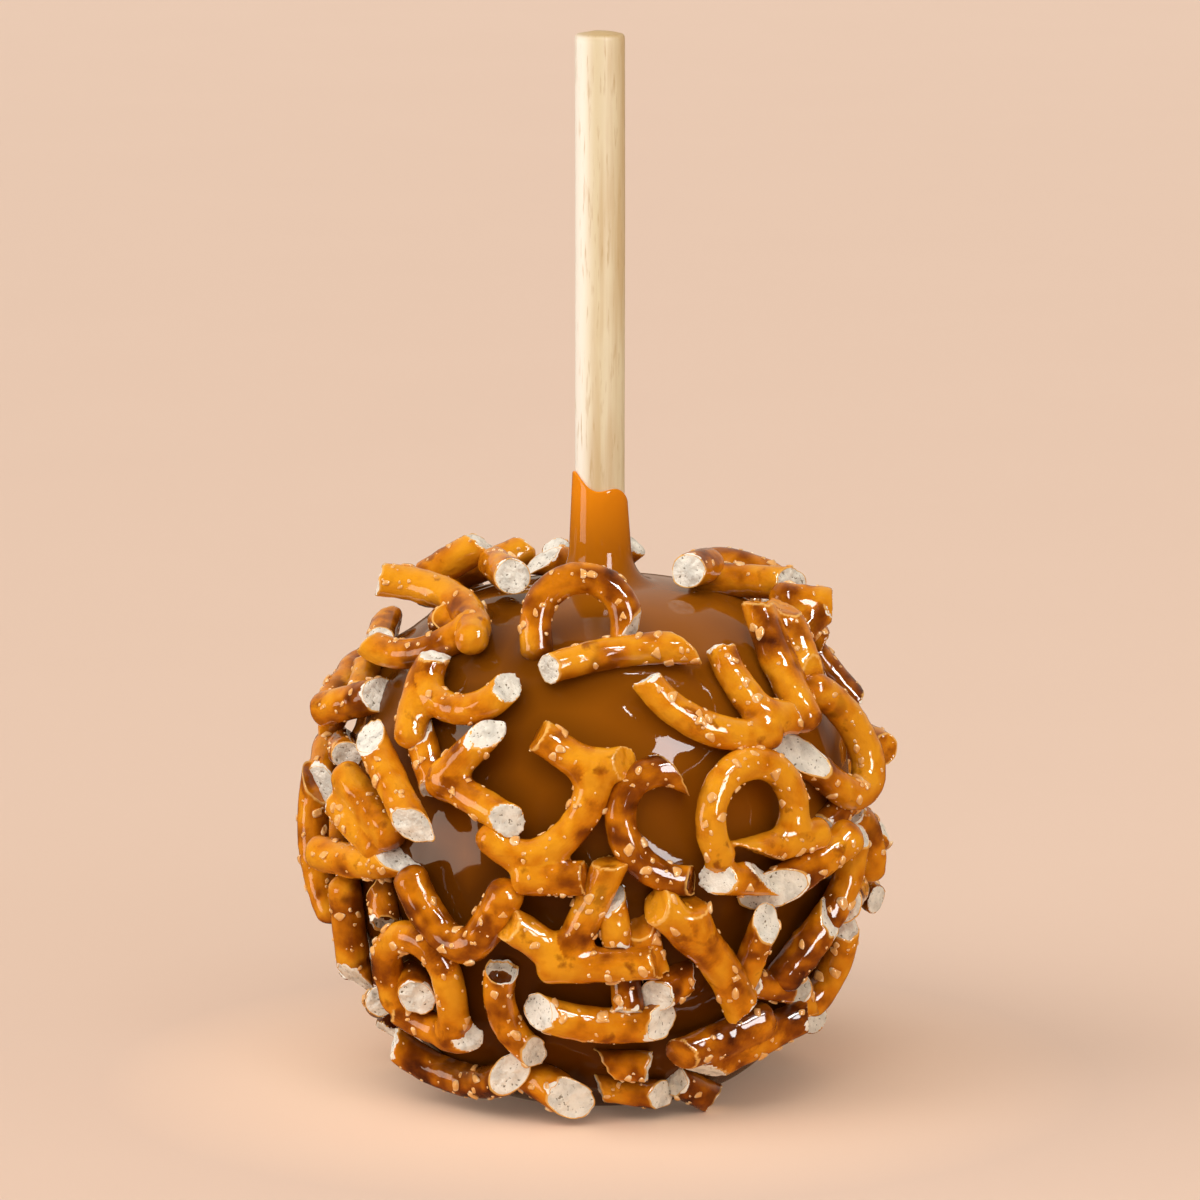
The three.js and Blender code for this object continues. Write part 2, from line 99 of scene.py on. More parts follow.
# Pretzel pieces on the front and the sides: name, place, girth, bake, and limbs.
# place: azimuth (0 is the front, positive to the right), height, lift above the caramel, tip and swing.
# A limb is a walk in the piece's plane, start x, start y, heading and pairs of length and bend,
# and then its two ends. Bake runs from 0, golden, to 1, dark.
FRONT_PIECES = (
    ("arch", (-4, 62, 3.2, 45, 0), 0.97, 0.4, (
        ((-6.3, -4.5, 95, 3, 0, 18.5, -185, 2, 0), BLUNT, (58, 15, FRESH)),)),
    ("rod_left", (-46, 43.7, 4.3, 0, 8), 1.12, 0.12, (
        ((-5.8, 5, -41, 15, 0), (56, 60, FRESH), (46, 90, FRESH)),)),
    ("ring", (35, 39.7, 2.9, 0, 0), 1, 0.28, (
        ((-6.4, -3.5, 128, 7.5, -60, 20, -178), BLUNT, BLUNT),
        ((8.8, -2.4, -173, 10, 0), BLUNT, (62, 0, GLAZED)),
        ((-7.5, -6.3, -7, 8, 0), (40, 90, FRESH), (60, 40, FRESH)))),
    ("elbow_left", (-27, 45.6, 3.1, 0, 8), 1, 0.22, (
        ((1.8, 5.7, -135, 9.5, 0), (45, 90, FRESH), BLUNT),
        ((-5.3, -0.7, -21, 12, 0), BLUNT, (40, 80, FRESH)))),
    ("knot_centre", (-9, 42.6, 2.5, 0, 0), 1.05, 0.32, (
        ((-2.4, 9, -32, 8, 0), (20, 90, GLAZED), BLUNT),
        ((4, 4.9, 11, 4.7, 0), BLUNT, (30, 90, GLAZED)),
        ((4.8, 4.8, -90, 12.3, -60, 8, -85), BLUNT, BLUNT),
        ((-4, -9, 2, 8, 0), BLUNT, (12, 60, GLAZED)))),
    ("cross_low", (-4, 29.5, 2.3, 0, 0), 1.08, 0.3, (
        ((-4, -6.9, 4, 13.5, 0), BLUNT, (15, 60, GLAZED)),
        ((-1.6, -5.5, 66, 13.5, 0), BLUNT, (30, 20, GLAZED)),
        ((-9.5, -1.1, -31, 9, 0), (35, 90, GLAZED), BLUNT))),
    ("slant_right", (48, 33, 3.3, 0, 10), 1.2, 0.4, (
        ((-6.3, -2, 16, 13.3, 14), (60, 90, FRESH), BLUNT),)),
    ("loop_right", (62, 46, 2.7, 0, 14), 1.05, 0.3, (
        ((-2.7, 8.5, -28, 13, -48, 9, -142, 9.3, -8), BLUNT, (64, 90, FRESH)),)),
    ("fork_right", (30, 54.8, 2.1, 0, 0), 1, 0.34, (
        ((-9.9, 2.6, -68, 19, 76), (15, 60, FRESH), BLUNT),
        ((2, 5.8, -87, 11, 32), (10, 90, FRESH), BLUNT),
        ((5.2, -4, -6, 4.5, 0), BLUNT, (20, 30, FRESH)))),
    ("bow", (20, 23.5, 2.5, 0, 0), 1.22, 0.28, (
        ((-5.6, 7.8, -34, 20, -32), (18, 120, GLAZED), (18, 0, FRESH)),
        ((-1.2, 7.4, -77, 4.2, 0), (15, 60, GLAZED), BLUNT))),
    ("wye_left", (-35, 53.9, 2.3, 0, 0), 1, 0.22, (
        ((-5.5, 5, -106, 11, 31), (30, 90, FRESH), BLUNT),
        ((-5.8, 1.5, -56, 15, 120), BLUNT, (42, 130, FRESH)))),
    ("bar", (6, 58.6, 1.9, 0, 0), 1, 0.24, (
        ((-9.2, -1.1, 21, 17.2, -24), (20, 110, FRESH), (50, 0, GLAZED)),)),
    ("strand_right", (50, 56, 2.5, 0, 10), 1, 0.42, (
        ((2.3, 9.2, -106, 17, 17), (30, 90, GLAZED), BLUNT),
        ((5.8, 7.8, -99, 11, 0), (50, 90, GLAZED), (55, 90, GLAZED)))),
    ("sickle", (11.5, 40.3, 2.1, 0, 0), 1, 0.64, (
        ((3, 6.4, 155, 10.2, 112, 14.3, 96), (52, 180, GLAZED), (25, 90, GLAZED)),)),
    ("arch_low_left", (-41, 19.4, 2.5, 0, 0), 1, 0.36, (
        ((-5.6, -4, 110, 5.5, -25, 15, -170, 9, -25), BLUNT, BLUNT),
        ((-6.6, -4.5, -33, 12.4, 40), (30, 90, GLAZED), (30, 60, FRESH)))),
    ("vee", (-32, 30.4, 2.1, 0, 0), 1.12, 0.58, (
        ((-6.3, 1.7, -68, 8, 25, 6.5, 95, 7, 10), BLUNT, BLUNT),)),
    ("bone", (0, 16.5, 2.5, 0, 0), 1.15, 0.4, (
        ((-7.6, 0.9, -25, 15.6, 40), (35, 90, FRESH), (38, 90, FRESH)),)),
    ("bar_bottom_left", (-43, 8.7, 2.1, 0, 0), 1.1, 0.42, (
        ((-10.2, 0.4, -45, 22, 85), (22, 90, FRESH), (52, 90, FRESH)),)),
    ("peg_bottom", (-13, 6, 2.6, 0, 28), 1.25, 0.4, (
        ((-5.6, 1, -2, 8.5, 0), BLUNT, (42, 35, FRESH)),)),
    ("hook_low", (-19, 16.9, 2.3, 0, 0), 1, 0.36, (
        ((-1.2, 5.8, -113, 6.6, 35, 6.5, 40), (15, 90, HOLLOW), (42, 45, FRESH)),)),
    ("twin_bottom_right", (38, 11.1, 2.1, 0, 0), 1.15, 0.46, (
        ((-10, 0.1, 10, 12.3, 16), (25, 90, GLAZED), BLUNT),
        ((-5.2, -3.4, 30, 15.8, -11), (45, 120, FRESH), (20, 90, FRESH)))),
    ("rod_right_low", (34, 24.2, 3.1, 15, 0), 1, 0.3, (
        ((0.7, 3.8, -100, 8.5, 0), (45, 90, FRESH), BLUNT),)),
    ("rod_right_under", (50, 22.5, 2.7, 0, 10), 1.15, 0.34, (
        ((2.8, 4, -130, 9.5, 0), (40, 90, FRESH), BLUNT),)),
    ("prop_right", (57, 29.5, 2.3, 0, 15), 1, 0.4, (
        ((3.6, 6.5, -84, 11.5, -50), (30, 90, FRESH), BLUNT),)),
    ("limb_left_edge", (-60, 33.1, 2.5, 0, -15), 1.08, 0.2, (
        ((-7.7, -0.6, -7, 15.4, 25), BLUNT, (52, 40, FRESH)),)),
    ("hook_left_edge", (-80, 33, 1.4, 0, -35), 1, 0.6, (
        ((-4.4, 6.7, -105, 17.3, 47), (50, 0, GLAZED), BLUNT),)),
    ("rods_left_low", (-61, 38, 2.5, 0, -10), 1.08, 0.22, (
        ((-2.7, 4.8, -31, 11.4, 0), BLUNT, BLUNT),
        ((-5.6, 1.6, -26, 11, 0), (30, 90, FRESH), BLUNT))),
    ("rod_low_left", (-68, 22, 2.1, 0, -15), 1.12, 0.3, (
        ((-0.3, 6.6, -99, 12.7, 0), BLUNT, (48, 80, FRESH)),)),
    ("strand_right_low", (66, 19, 2.1, 0, 25), 1, 0.4, (
        ((-0.3, 5.3, -68, 11.6, -63), (30, 90, FRESH), BLUNT),)),
    ("strand_right_edge", (75, 33, 2.1, 0, 30), 1, 0.44, (
        ((-3, 4.5, -19, 10.5, -82), (35, 60, FRESH), BLUNT),)),
    ("rod_top_right", (70, 62, 3.7, -25, 0), 1.1, 0.3, (
        ((4.7, 9.4, -76, 11.5, 0), BLUNT, (38, 160, FRESH)),)),
    ("peg_top_right", (75, 64.4, 3, 0, 0), 1.1, 0.3, (
        ((3.5, 0.8, 170, 6, 0), BLUNT, (12, 90, FRESH)),)),
    ("far_top_right", (80, 57, 3.7, 0, 45), 1, 0.34, (
        ((-1.5, 7.2, -43, 7, 0), BLUNT, (20, 90, FRESH)),
        ((-3.6, 2.3, 5, 5.5, 0), BLUNT, (25, 90, FRESH)))),
    ("rod_top_left", (-55, 61, 3.2, -25, -15), 1.1, 0.2, (
        ((-12.4, -1.9, 50, 22.5, -98), (12, 90, FRESH), BLUNT),)),
    ("wedge_top_left", (-95, 63, 4.6, 10, 0), 1.12, 0.4, (
        ((0, -3, 90, 8.5, 0), BLUNT, (25, 90, FRESH)),)),
    ("peg_top_left", (-64, 64.4, 3.4, 0, 0), 1.12, 0.3, (
        ((-4.5, 1.3, -10, 9, 0), BLUNT, (15, 90, FRESH)),)),
    ("strand_left_high", (-60, 57, 2.5, 0, -15), 1, 0.28, (
        ((-6.4, -0.8, -8, 17, 80), (30, 60, GLAZED), BLUNT),)),
    ("rod_left_edge", (-75, 49, 2.3, 0, -30), 1.08, 0.4, (
        ((-4.8, -0.7, 27, 10, 0), BLUNT, (30, 90, FRESH)),)),
)

# Kinds of piece that the back is covered with, each a set of walks
BACK_KINDS = (
    ((-6.5, -5, 90, 5, 0, 17, -165, 5, 0),),
    ((-9, -1, 15, 18, -30), (-1, 1, -75, 9, 15)),
    ((-7.5, 4.5, -60, 9, 15, 6.5, 95, 8, 10),),
    ((-6.4, -3.5, 128, 7.5, -60, 20, -178), (7.5, -2.4, -173, 9, 0), (-7.5, -5.6, -7, 8, 0)),
    ((-9.5, 1, -15, 19, 30),),
    ((-5, 7, -60, 11, 20), (-6, -5, 40, 14, -25), (3, -1, -40, 7, 0)),
)
# Rows that they stand in: height, count, first and last azimuth
BACK_ROWS = (
    (60.5, 3, 132, 238), (50, 5, 122, 262), (37, 5, 109, 259), (24, 4, 104, 256), (11, 3, 112, 244))
BACK_TURNS = (0, 140, 75, 215, 300, 30, 180)
BACK_LIFT = 2.4
BACK_SCALE = 1.15
BACK_WANDER = {"azimuth": 4, "height": 1.6, "tilt": 8, "turn": 20}
BACK_SEED = 11
DRAW_FACTOR = 16807
DRAW_RANGE = 2147483647
GOLDEN_SHARE = 0.618034

# Short stubs between the pieces: azimuth, height, heading, length and rise out of the caramel,
# and for some the break at the far end and the girth
STUBS = (
    (-41, 46.7, 121, 7.5, 0, (45, 90, FRESH)), (-54, 27.7, -62, 6, 15, (20, 90, HOLLOW)),
    (3, 28.2, -82, 6, 5), (10, 25, -74, 7.5, 8), (16, 20, 195, 6, 30, (20, 90, FRESH), 1.15),
    (6, 19.1, -85, 5, 25, (20, 120, FRESH)), (9, 5.2, 0, 8, 12, (38, 45, FRESH)), (7, 9.3, 3, 5.5, 10),
    (31, 4.6, -28, 8, 12, (40, 60, FRESH)), (42, 18.3, -16, 8, 5), (56, 14.8, -52, 6, 10),
    (-60, 61, 0, 5, 20), (-80, 53, -30, 7, 5), (-78, 44.5, 0, 7.5, 5), (-84, 56.5, 10, 6, 20),
    (-142, 65.2, 0, 6, 8), (68, 27.2, 180, 9, 12, (10, 90, FRESH), 1.3), (-54, 48, -61, 8, 4),
    (62, 38.5, 30, 7, 12), (-72, 13, 20, 8, 6), (-46.5, 18, -5, 7, 42, (15, 90, FRESH), 1.25),
    (-30, 17, -30, 6, 45, (20, 60, FRESH), 1.1),
)
BACK_STUBS = {
    "count": 33, "from": 108, "to": 274, "low": 8, "high": 62, "length": 9, "spread": 2, "rise": 9}
STUB_LIFT = 1.6
STUB_RADIUS = 2
STUB_REACH = 0.6
STUB_TESTS = 5
STUB_SEEDS = 200

# Breaks and bakes that are drawn: a middle, and how far a draw strays from it
DRAWN_LEAN = (30, 20)
DRAWN_WAY = (90, 50)
DRAWN_BAKE = (0.4, 0.2)
GLAZED_BELOW = -0.5

# Noise: factors and shifts that mix the numbers of a cell
CELL_FACTORS = (73856093, 19349663, 83492791)
CELL_MIXES = ((15, 2246822519), (13, 3266489917))
CELL_SHIFT = 16
CELL_RANGE = 2.0 ** 32
SEED_STRIDE = 37.3

# Fineness of the strands
LINE_STEP = 0.1
RING_GAP = 0.36
RING_POINTS = 40
LEAST_RINGS = 10
SKIN_CELL = 0.28
FLOOR_HEIGHT = 0.02

# Uneven strands. Here and below, lumps are layers of noise: a share, a size and for some a seed.
UNDERSIDE = 0.93
SWELL_LUMPS = ((0.7, 5.5),)
GIRTH_LUMPS = ((0.5, 2.6),)
WANDER_LUMPS = ((1, 8, 3),)
SKIN_LUMPS = ((0.5, 1.1),)
BLISTER_LUMPS = ((1, 1.7, 5),)
BLISTER_FROM = 0.5
BLISTER_GAIN = 2.2

# Broken ends: rings from the rim inwards, ragged rims, chipped crust, and relief of the crumb
CAP_SHARES = (0.94, 0.89, 0.78, 0.64, 0.49, 0.33, 0.16)
CAP_FLATNESS = 3
RIM_LUMPS = ((0.6, 1.6), (0.5, 0.6))
CHIP_LUMPS = ((1, 1.9, 9), (0.4, 0.7, 9))
CHIP_LESS = 0.12
CHIP_EDGE = 0.3
CHIP_DEPTH = 0.12
CRUMB_FROM = 1
CRUMB_LUMPS = ((0.6, 1.5), (0.6, 0.6))
CRUMB_RISE = 6
DOME_SHARE = 0.75
# From this ring inwards, the inside of a hollow end is painted as the darkest crust: painted shade
HOLLOW_SHADE_FROM = 3
HOLLOW_DEPTH = 2.2
HOLLOW_FULLNESS = 4

# Joints between the limbs of a piece
JOINT_FILLET = 1.6
JOINT_SWELL = 0.4
JOINT_ROUNDS = 11
JOINT_LEAST_EASE = 0.03
JOINT_EASE = 0.55

# Crust: unevenly baked, browner low down as painted shade, soaked and smeared with caramel, and in painted
# shade near the caramel
BAKE_LUMPS = ((0.52, 4.2), (0.24, 1.3))
LOW_SHADE_HEIGHT = 28
LOW_SHADE = 0.26
SOAK_AND_SHADE_REACH = 2.9
SOAK_LUMPS = ((0.35, 1.5),)
SMEAR_LUMPS = ((4, 5, 21), (1.2, 1.3, 22))
SMEAR_LESS = 2
SMEAR_SHARE = 0.75

# Fineness of the caramel
CARAMEL_SIDES = 330
BASE_RINGS = 6
BELLY_RINGS = 71
SHOULDER_RINGS = 91
FLARE_RINGS = 27
COLLAR_RINGS = 29
LIP_RINGS = 7
LEAST_RADIUS = 0.4
BORE_HEIGHTS = (CROWN_HEIGHT, 44, BORE_FOOT)

# Waves of the caramel, how it creeps up what it holds, where both fade out, and where it is darker, partly
# thick and partly painted shade
WAVE_HEIGHT = 0.3
WAVE_LUMPS = ((1, 15), (0.4, 5))
CREEP_HEIGHT = 0.6
CREEP_REACH = 2.2
CREEP_STEP = 0.5
BASE_EASE = 2
CROWN_EASE = 3
# Painted shade on the caramel: darker near the strands, as their shadow and as thicker caramel, most on the
# left, where the pieces shade it, and low down
THICK_SHADE_REACH = 7
THICK_SHADE_BELOW = 42
THICK_SHADE_DEPTH = 20
THICK_SHADE_WIDTH = 24
THICK_SHADE_LEAST = 0.15
THICK_SHADE_LOW = 0.75

# Salt: forms of grains and dust, and how they vary, as a middle and how far a draw strays from it
GRAIN_FORM = {"count": 11, "cuts": 6, "squash": 0.3, "splits": 2}
DUST_FORM = {"count": 5, "cuts": 2, "squash": 0.5, "splits": 1}
GRAIN_LUMPS = ((0.22, 0.35),)
GRAIN_FULLNESS = 4
GRAIN_WIDTH = (0.85, 0.15)
GRAIN_HEIGHT = (1, 0.25)
CUT_TILT = 0.3
CUT_REACH = (0.31, 0.09)
SALTINESS = (1.2, 0.45)
SALT_ALONG = (0.5, 0.46)
SALT_ROUND = (0.25, 0.27)
SALT_SIZE = (0.95, 0.5)
SALT_LIFT = 0.01
SALT_SKEW = 0.37

# Stick: its fineness, its domed end, how uneven its wood is, and how far painted light makes its left side
# pale
STICK_SIDES = 72
STICK_RINGS = 90
STICK_EDGE_RINGS = 6
STICK_DOME_RINGS = 9
STICK_TIP = 0.3
STICK_DOME = 0.6
STICK_WALL = 0.9
WOOD_STRETCH = (1, 1, 0.05)
WOOD_LUMPS = ((0.03, 1.4),)
SAWN_LUMPS = ((0.05, 0.5),)
SAWN_SINK = 0.05
SAWN_FROM = 0.7
# Painted light: the wood is made paler toward the left, as if lit from there
PAINTED_LIGHT_STRETCH = (1, 1, 0.06)
PAINTED_LIGHT_LUMPS = ((0.35, 1.8),)
PAINTED_LIGHT_LESS = 0.45
PAINTED_LIGHT_SLOPE = 1.9

# Noise in the materials: lumps a metre, detail, and how it is stretched
CRUST_MOTTLE = (420, 4)
CRUST_BURNS = (360, 4)
CRUST_CHIPS = (2600, 2)
CRUST_PITS = (1100, 4)
CRUST_DENTS = (430, 2)
CRUMB_HOLES = (2100, 4)
CRUMB_PATCHES = (500, 2)
CARAMEL_RIPPLES = (160, 2)
SALT_CLOUDS = (700, 2)
SALT_PITS = (1600, 3)
WOOD_GRAIN = (900, 4, (1, 1, 0.04))
WOOD_PATCHES = (150, 3, (1, 1, 0.25))
WOOD_FLECKS = (2200, 3, (1, 1, 0.1))
FLOOR_CLOUDS = (14, 5)

# How noise counts in the materials: its share, the values between which a mark shows, and stops of colours
MOTTLE_SHARE = 0.8
BAKE_STOPS = (0.05, 0.4, 0.72, 1)
BURN_RUN = (0.62, 0.72)
# Rims at breaks are lightened partly as a painted highlight
RIM_HIGHLIGHT_SHARE = 0.8
CHIP_SHARE = 0.7
CHIP_RUN = (0.46, 0.54)
DENT_SHARE = 2
CRUST_ROUGHNESS = (0.2, 0.42)
# Crumb: grey patches and dark pores are painted shade
CRUMB_SHADE = 0.7
CRUMB_STOPS = (0.3, 0.58)
PORE_RUN = (0.31, 0.38)
CLOUD_SHARE = 0.9
SALT_STOPS = (0.2, 0.85)
PATCH_SHARE = 1.4
WOOD_STOPS = (0.36, 0.64)
FLECK_RUN = (0.58, 0.74)
FLECK_SHARE = 0.7
SAWN_SHARE = 0.75

# Depth of the fine relief in the materials
CRUST_RELIEF = 0.16
CRUMB_RELIEF = 0.3
CARAMEL_RELIEF = 0.2
SALT_RELIEF = 0.25
WOOD_RELIEF = 0.06

# Stage, in metres and degrees. Floor: its form, and how its colour runs paler to the back and round the
# apple, as painted light.
FLOOR_SIDES = 96
FLOOR_RADIUS = 5
FLOOR_RUN = (-0.1, 2)
FLOOR_STOPS = (0, 0.15, 1)
FLOOR_UNEVEN = 0.12
NEAR_LIGHT_RUN = (0.03, 0.065)

# Light from all round: the way to its bright side, and how it runs to the front and to the floor
SURROUND_WAY = (0, 0.94, 0.34)
SURROUND_RUN = (0, 0.8)
HORIZON_RUN = (-0.06, 0.02)

# Lights: shape, azimuth, elevation, distance, colour, and width and height, or for a sun its angle.
# Soft boxes show only in reflections, and the others are hidden from them.
SUN = "SUN"
SOFT_BOX = "RECTANGLE"
LIGHTS = {
    "side": (SUN, -78, 18, 2, (1, 0.99, 0.98), 70),
    "top": (SUN, -30, 58, 2, (1, 0.98, 0.96), 60),
    "window": (SOFT_BOX, 34, 20, 0.9, (1, 0.98, 0.97), (0.25, 0.57)),
    "pane": (SOFT_BOX, -68, 3, 0.9, (1, 0.87, 0.72), (0.42, 0.5)),
    "right": (SUN, 72, 10, 2, (1, 0.94, 0.86), 60),
    "fill": ("DISK", 10, 34, 1.6, (1, 0.93, 0.84), (1.4, 1.4)),
    "lamp": (SOFT_BOX, 36, 49, 0.9, (1, 0.99, 0.97), (0.3, 0.12)),
}
LIGHT_TARGET = (0, 0, 0.04)

# Camera: lens and sensor in millimetres, what it looks at, and where it stands
LENS = 210.1
SENSOR_WIDTH = 36
CAMERA_TARGET = (0, 0, 0.063)
CAMERA_ELEVATION = 10
CAMERA_DISTANCE = 0.9


# Settings

def colour_setting(name, description, default):
    """A colour."""
    return FloatVectorProperty(name=name, description=description, subtype="COLOR", default=default)


def length_setting(name, description, size):
    """A length, with its default in millimetres."""
    return FloatProperty(name=name, description=description, default=size * MM, unit="LENGTH")


def share_setting(name, description, default):
    """A share from 0 to 1."""
    return FloatProperty(name=name, description=description, default=default, subtype="FACTOR")


def power_setting(name, description, default):
    """A lamp's power in watts."""
    return FloatProperty(name=name, description=description, default=default, unit="POWER")


def strength_setting(name, description, default):
    """A sun's strength."""
    return FloatProperty(name=name, description=description, default=default)


class CaramelSettings(PropertyGroup):
    """Looks of the caramel"""

    body: colour_setting("Body", "Colour of the common caramel", (0.28, 0.082, 0.003))
    # Painted shade: the caramel's colour near the pieces, on the left and low down, partly standing for
    # thick caramel
    deep: colour_setting("Deep", "Colour where it is thick round the pieces", (0.10, 0.027, 0.001))
    thin: colour_setting("Thin", "Colour of the film on the stick", (0.76, 0.24, 0.006))
    roughness: share_setting("Roughness", "Roughness of its skin", 0.14)


class PretzelSettings(PropertyGroup):
    """Sizes and looks of the pretzel pieces"""

    radius: length_setting("Radius", "Half the thickness of a strand", 2.05)
    swell: length_setting("Swell", "How far strands swell and thin", 0.2)
    blister: length_setting("Blister", "Height of the small blisters", 0.15)
    ragged: length_setting("Ragged", "How ragged the broken ends are", 0.6)
    chip: length_setting("Chip", "How far crust is chipped off beside a break", 1.1)
    crumb_relief: length_setting("Crumb relief", "Depth of the crumb in a break", 0.36)
    golden: colour_setting("Golden", "Lightest crust", (0.75, 0.305, 0.012))
    amber: colour_setting("Amber", "Common crust", (0.61, 0.19, 0.004))
    brown: colour_setting("Brown", "Well baked crust", (0.26, 0.060, 0.002))
    dark: colour_setting("Dark", "Darkest crust", (0.075, 0.014, 0.002))
    # Rim colour: the crust's golden edge at a break, lighter partly as a painted highlight
    rim: colour_setting("Rim", "Crust beside a break", (0.88, 0.50, 0.13))
    # Soaked colour: crust soaked with caramel, and painted shade where strands lie close to the caramel
    soaked: colour_setting("Soaked", "Crust soaked with caramel", (0.17, 0.045, 0.002))
    spots: share_setting("Spots", "How strongly burnt spots show", 0.85)
    crumb: colour_setting("Crumb", "Inside of the strands", (0.87, 0.83, 0.73))
    # Pore colour: painted shade in the crumb's holes
    pore_shade: colour_setting("Pore", "Holes in the crumb", (0.20, 0.16, 0.10))


class SaltSettings(PropertyGroup):
    """Sizes and looks of the salt"""

    spacing: length_setting("Spacing", "Length of strand for one grain", 2.2)
    size: length_setting("Size", "Width of a common grain", 1.4)
    dust_spacing: length_setting("Dust spacing", "Length of strand for one fine grain", 1.6)
    dust: length_setting("Dust", "Width of a fine grain", 0.5)
    glazed: colour_setting("Glazed", "Salt under caramel", (0.82, 0.42, 0.125))
    # Pale rim colour: the salt's own paleness and painted light scattered at the edges
    pale: colour_setting("Pale", "Rims of the grains", (0.97, 0.73, 0.41))


class StickSettings(PropertyGroup):
    """Sizes and looks of the stick"""

    diameter: length_setting("Diameter", "Thickness of the dowel", 6.35)
    edge: length_setting("Edge", "Width of its rounded end", 0.6)
    pale: colour_setting("Pale", "Early wood", (0.73, 0.63, 0.41))
    grain: colour_setting("Grain", "Late wood", (0.62, 0.465, 0.245))
    fleck: colour_setting("Fleck", "Fine brown flecks and the sawn end", (0.50, 0.32, 0.12))
    # Painted light: the palest wood colour, laid on the stick's left side as if lit
    sap: colour_setting("Sap", "Palest wood, on the left", (0.89, 0.85, 0.74))


class StageSettings(PropertyGroup):
    """Floor and light"""

    # Painted light: the floor is paler round the apple and far behind
    floor: colour_setting("Floor", "Colour of the floor in front", (0.665, 0.493, 0.385))
    mid_floor: colour_setting("Middle floor", "Colour of the floor a little behind", (0.68, 0.507, 0.40))
    near_floor_light: colour_setting("Near floor", "Colour of the floor round the apple", (0.88, 0.63, 0.455))
    far_floor: colour_setting("Far floor", "Colour of the floor far behind", (0.78, 0.60, 0.485))
    side: strength_setting("Side", "Strength of the light from the left", 1.95)
    top: strength_setting("Top", "Strength of the light from above", 1.6)
    window: power_setting("Window", "Power of the soft box on the right", 9)
    pane: power_setting("Pane", "Power of the soft box on the left", 3)
    lamp: power_setting("Lamp", "Power of the soft box high on the right", 5)
    right: strength_setting("Right", "Strength of the low light from the right", 1.15)
    fill: power_setting("Fill", "Power of the soft light from the front", 9)
    behind: colour_setting("Behind", "Light from behind", (0.62, 0.50, 0.40))
    below: colour_setting("Below", "Light thrown back by the floor", (0.12, 0.075, 0.045))
    before: colour_setting("Before", "Light from the front", (0.03, 0.02, 0.012))


class AppleSettings(PropertyGroup):
    """All sizes and looks of the caramel apple"""

    caramel: PointerProperty(type=CaramelSettings)
    pretzel: PointerProperty(type=PretzelSettings)
    salt: PointerProperty(type=SaltSettings)
    stick: PointerProperty(type=StickSettings)
    stage: PointerProperty(type=StageSettings)


def looks():
    """The settings in the scene."""
    return bpy.context.scene.caramel_apple


# Noise and draws

def cell_values(cells, seed):
    """Even values from 0 to 1 for whole cells of space, the same in every run."""
    mixed = np.uint32(seed)
    for along, factor in zip(np.moveaxis(cells.astype(np.uint32), -1, 0), CELL_FACTORS):
        mixed = mixed ^ along * np.uint32(factor)
    for shift, factor in CELL_MIXES:
        mixed = (mixed ^ (mixed >> np.uint32(shift))) * np.uint32(factor)
    return (mixed ^ (mixed >> np.uint32(CELL_SHIFT))) / CELL_RANGE


def lumps(points, size, seed=0):
    """Smooth noise from -1 to 1, with lumps of about that size."""
    scaled = np.asarray(points, float) / size
    cell = np.floor(scaled).astype(np.int64)
    part = scaled - cell
    ease = part * part * (3 - 2 * part)
    value = np.zeros(scaled.shape[:-1])
    for corner in np.ndindex(2, 2, 2):
        weight = np.prod(np.where(corner, ease, 1 - ease), axis=-1)
        value += weight * cell_values(cell + np.array(corner), seed)
    return 2 * value - 1


def layers(points, parts):
    """Noise of several sizes added up, from parts of a share, a size and maybe a seed."""
    return sum(share * lumps(points, *form) for share, *form in parts)


def apart(points, seed):
    """Points moved away by a seed, so that strands of one shape get noise of their own."""
    return points + SEED_STRIDE * seed


def make_draw(seed):
    """Even draws between -1 and 1, the same every time."""
    state = seed

    def draw():
        nonlocal state
        state = state * DRAW_FACTOR % DRAW_RANGE
        return state / DRAW_RANGE * 2 - 1

    return draw


def around(draw, middle, spread):
    """A draw about a middle."""
    return middle + spread * draw()


# Form of the apple

def apple_radius(height):
    """Radius of the caramel at a height."""
    above = np.asarray(height, float) > WIDEST_HEIGHT
    reach = np.where(above, CROWN_HEIGHT - WIDEST_HEIGHT, BELLY_DEPTH)
    fullness = np.where(above, SHOULDER_FULLNESS, BELLY_FULLNESS)
    share = np.minimum(1, np.abs(height - WIDEST_HEIGHT) / reach)
    return APPLE_RADIUS * (1 - share ** fullness) ** (1 / fullness)


def shoulder_height(radius):
    """Height of the shoulder at a radius."""
    share = radius / APPLE_RADIUS
    rise = (1 - share ** SHOULDER_FULLNESS) ** (1 / SHOULDER_FULLNESS)
    return WIDEST_HEIGHT + (CROWN_HEIGHT - WIDEST_HEIGHT) * rise


def height_over_caramel(points):
    """About how far points are outside the plain caramel."""
    above = points[..., 2] > WIDEST_HEIGHT
    reach = np.where(above, CROWN_HEIGHT - WIDEST_HEIGHT, BELLY_DEPTH)
    fullness = np.where(above, SHOULDER_FULLNESS, BELLY_FULLNESS)
    across = np.hypot(points[..., 0], points[..., 1]) / APPLE_RADIUS
    along = np.abs(points[..., 2] - WIDEST_HEIGHT) / reach
    value = across ** fullness + along ** fullness - 1
    slope = fullness * np.hypot(across ** (fullness - 1) / APPLE_RADIUS, along ** (fullness - 1) / reach)
    return value / slope


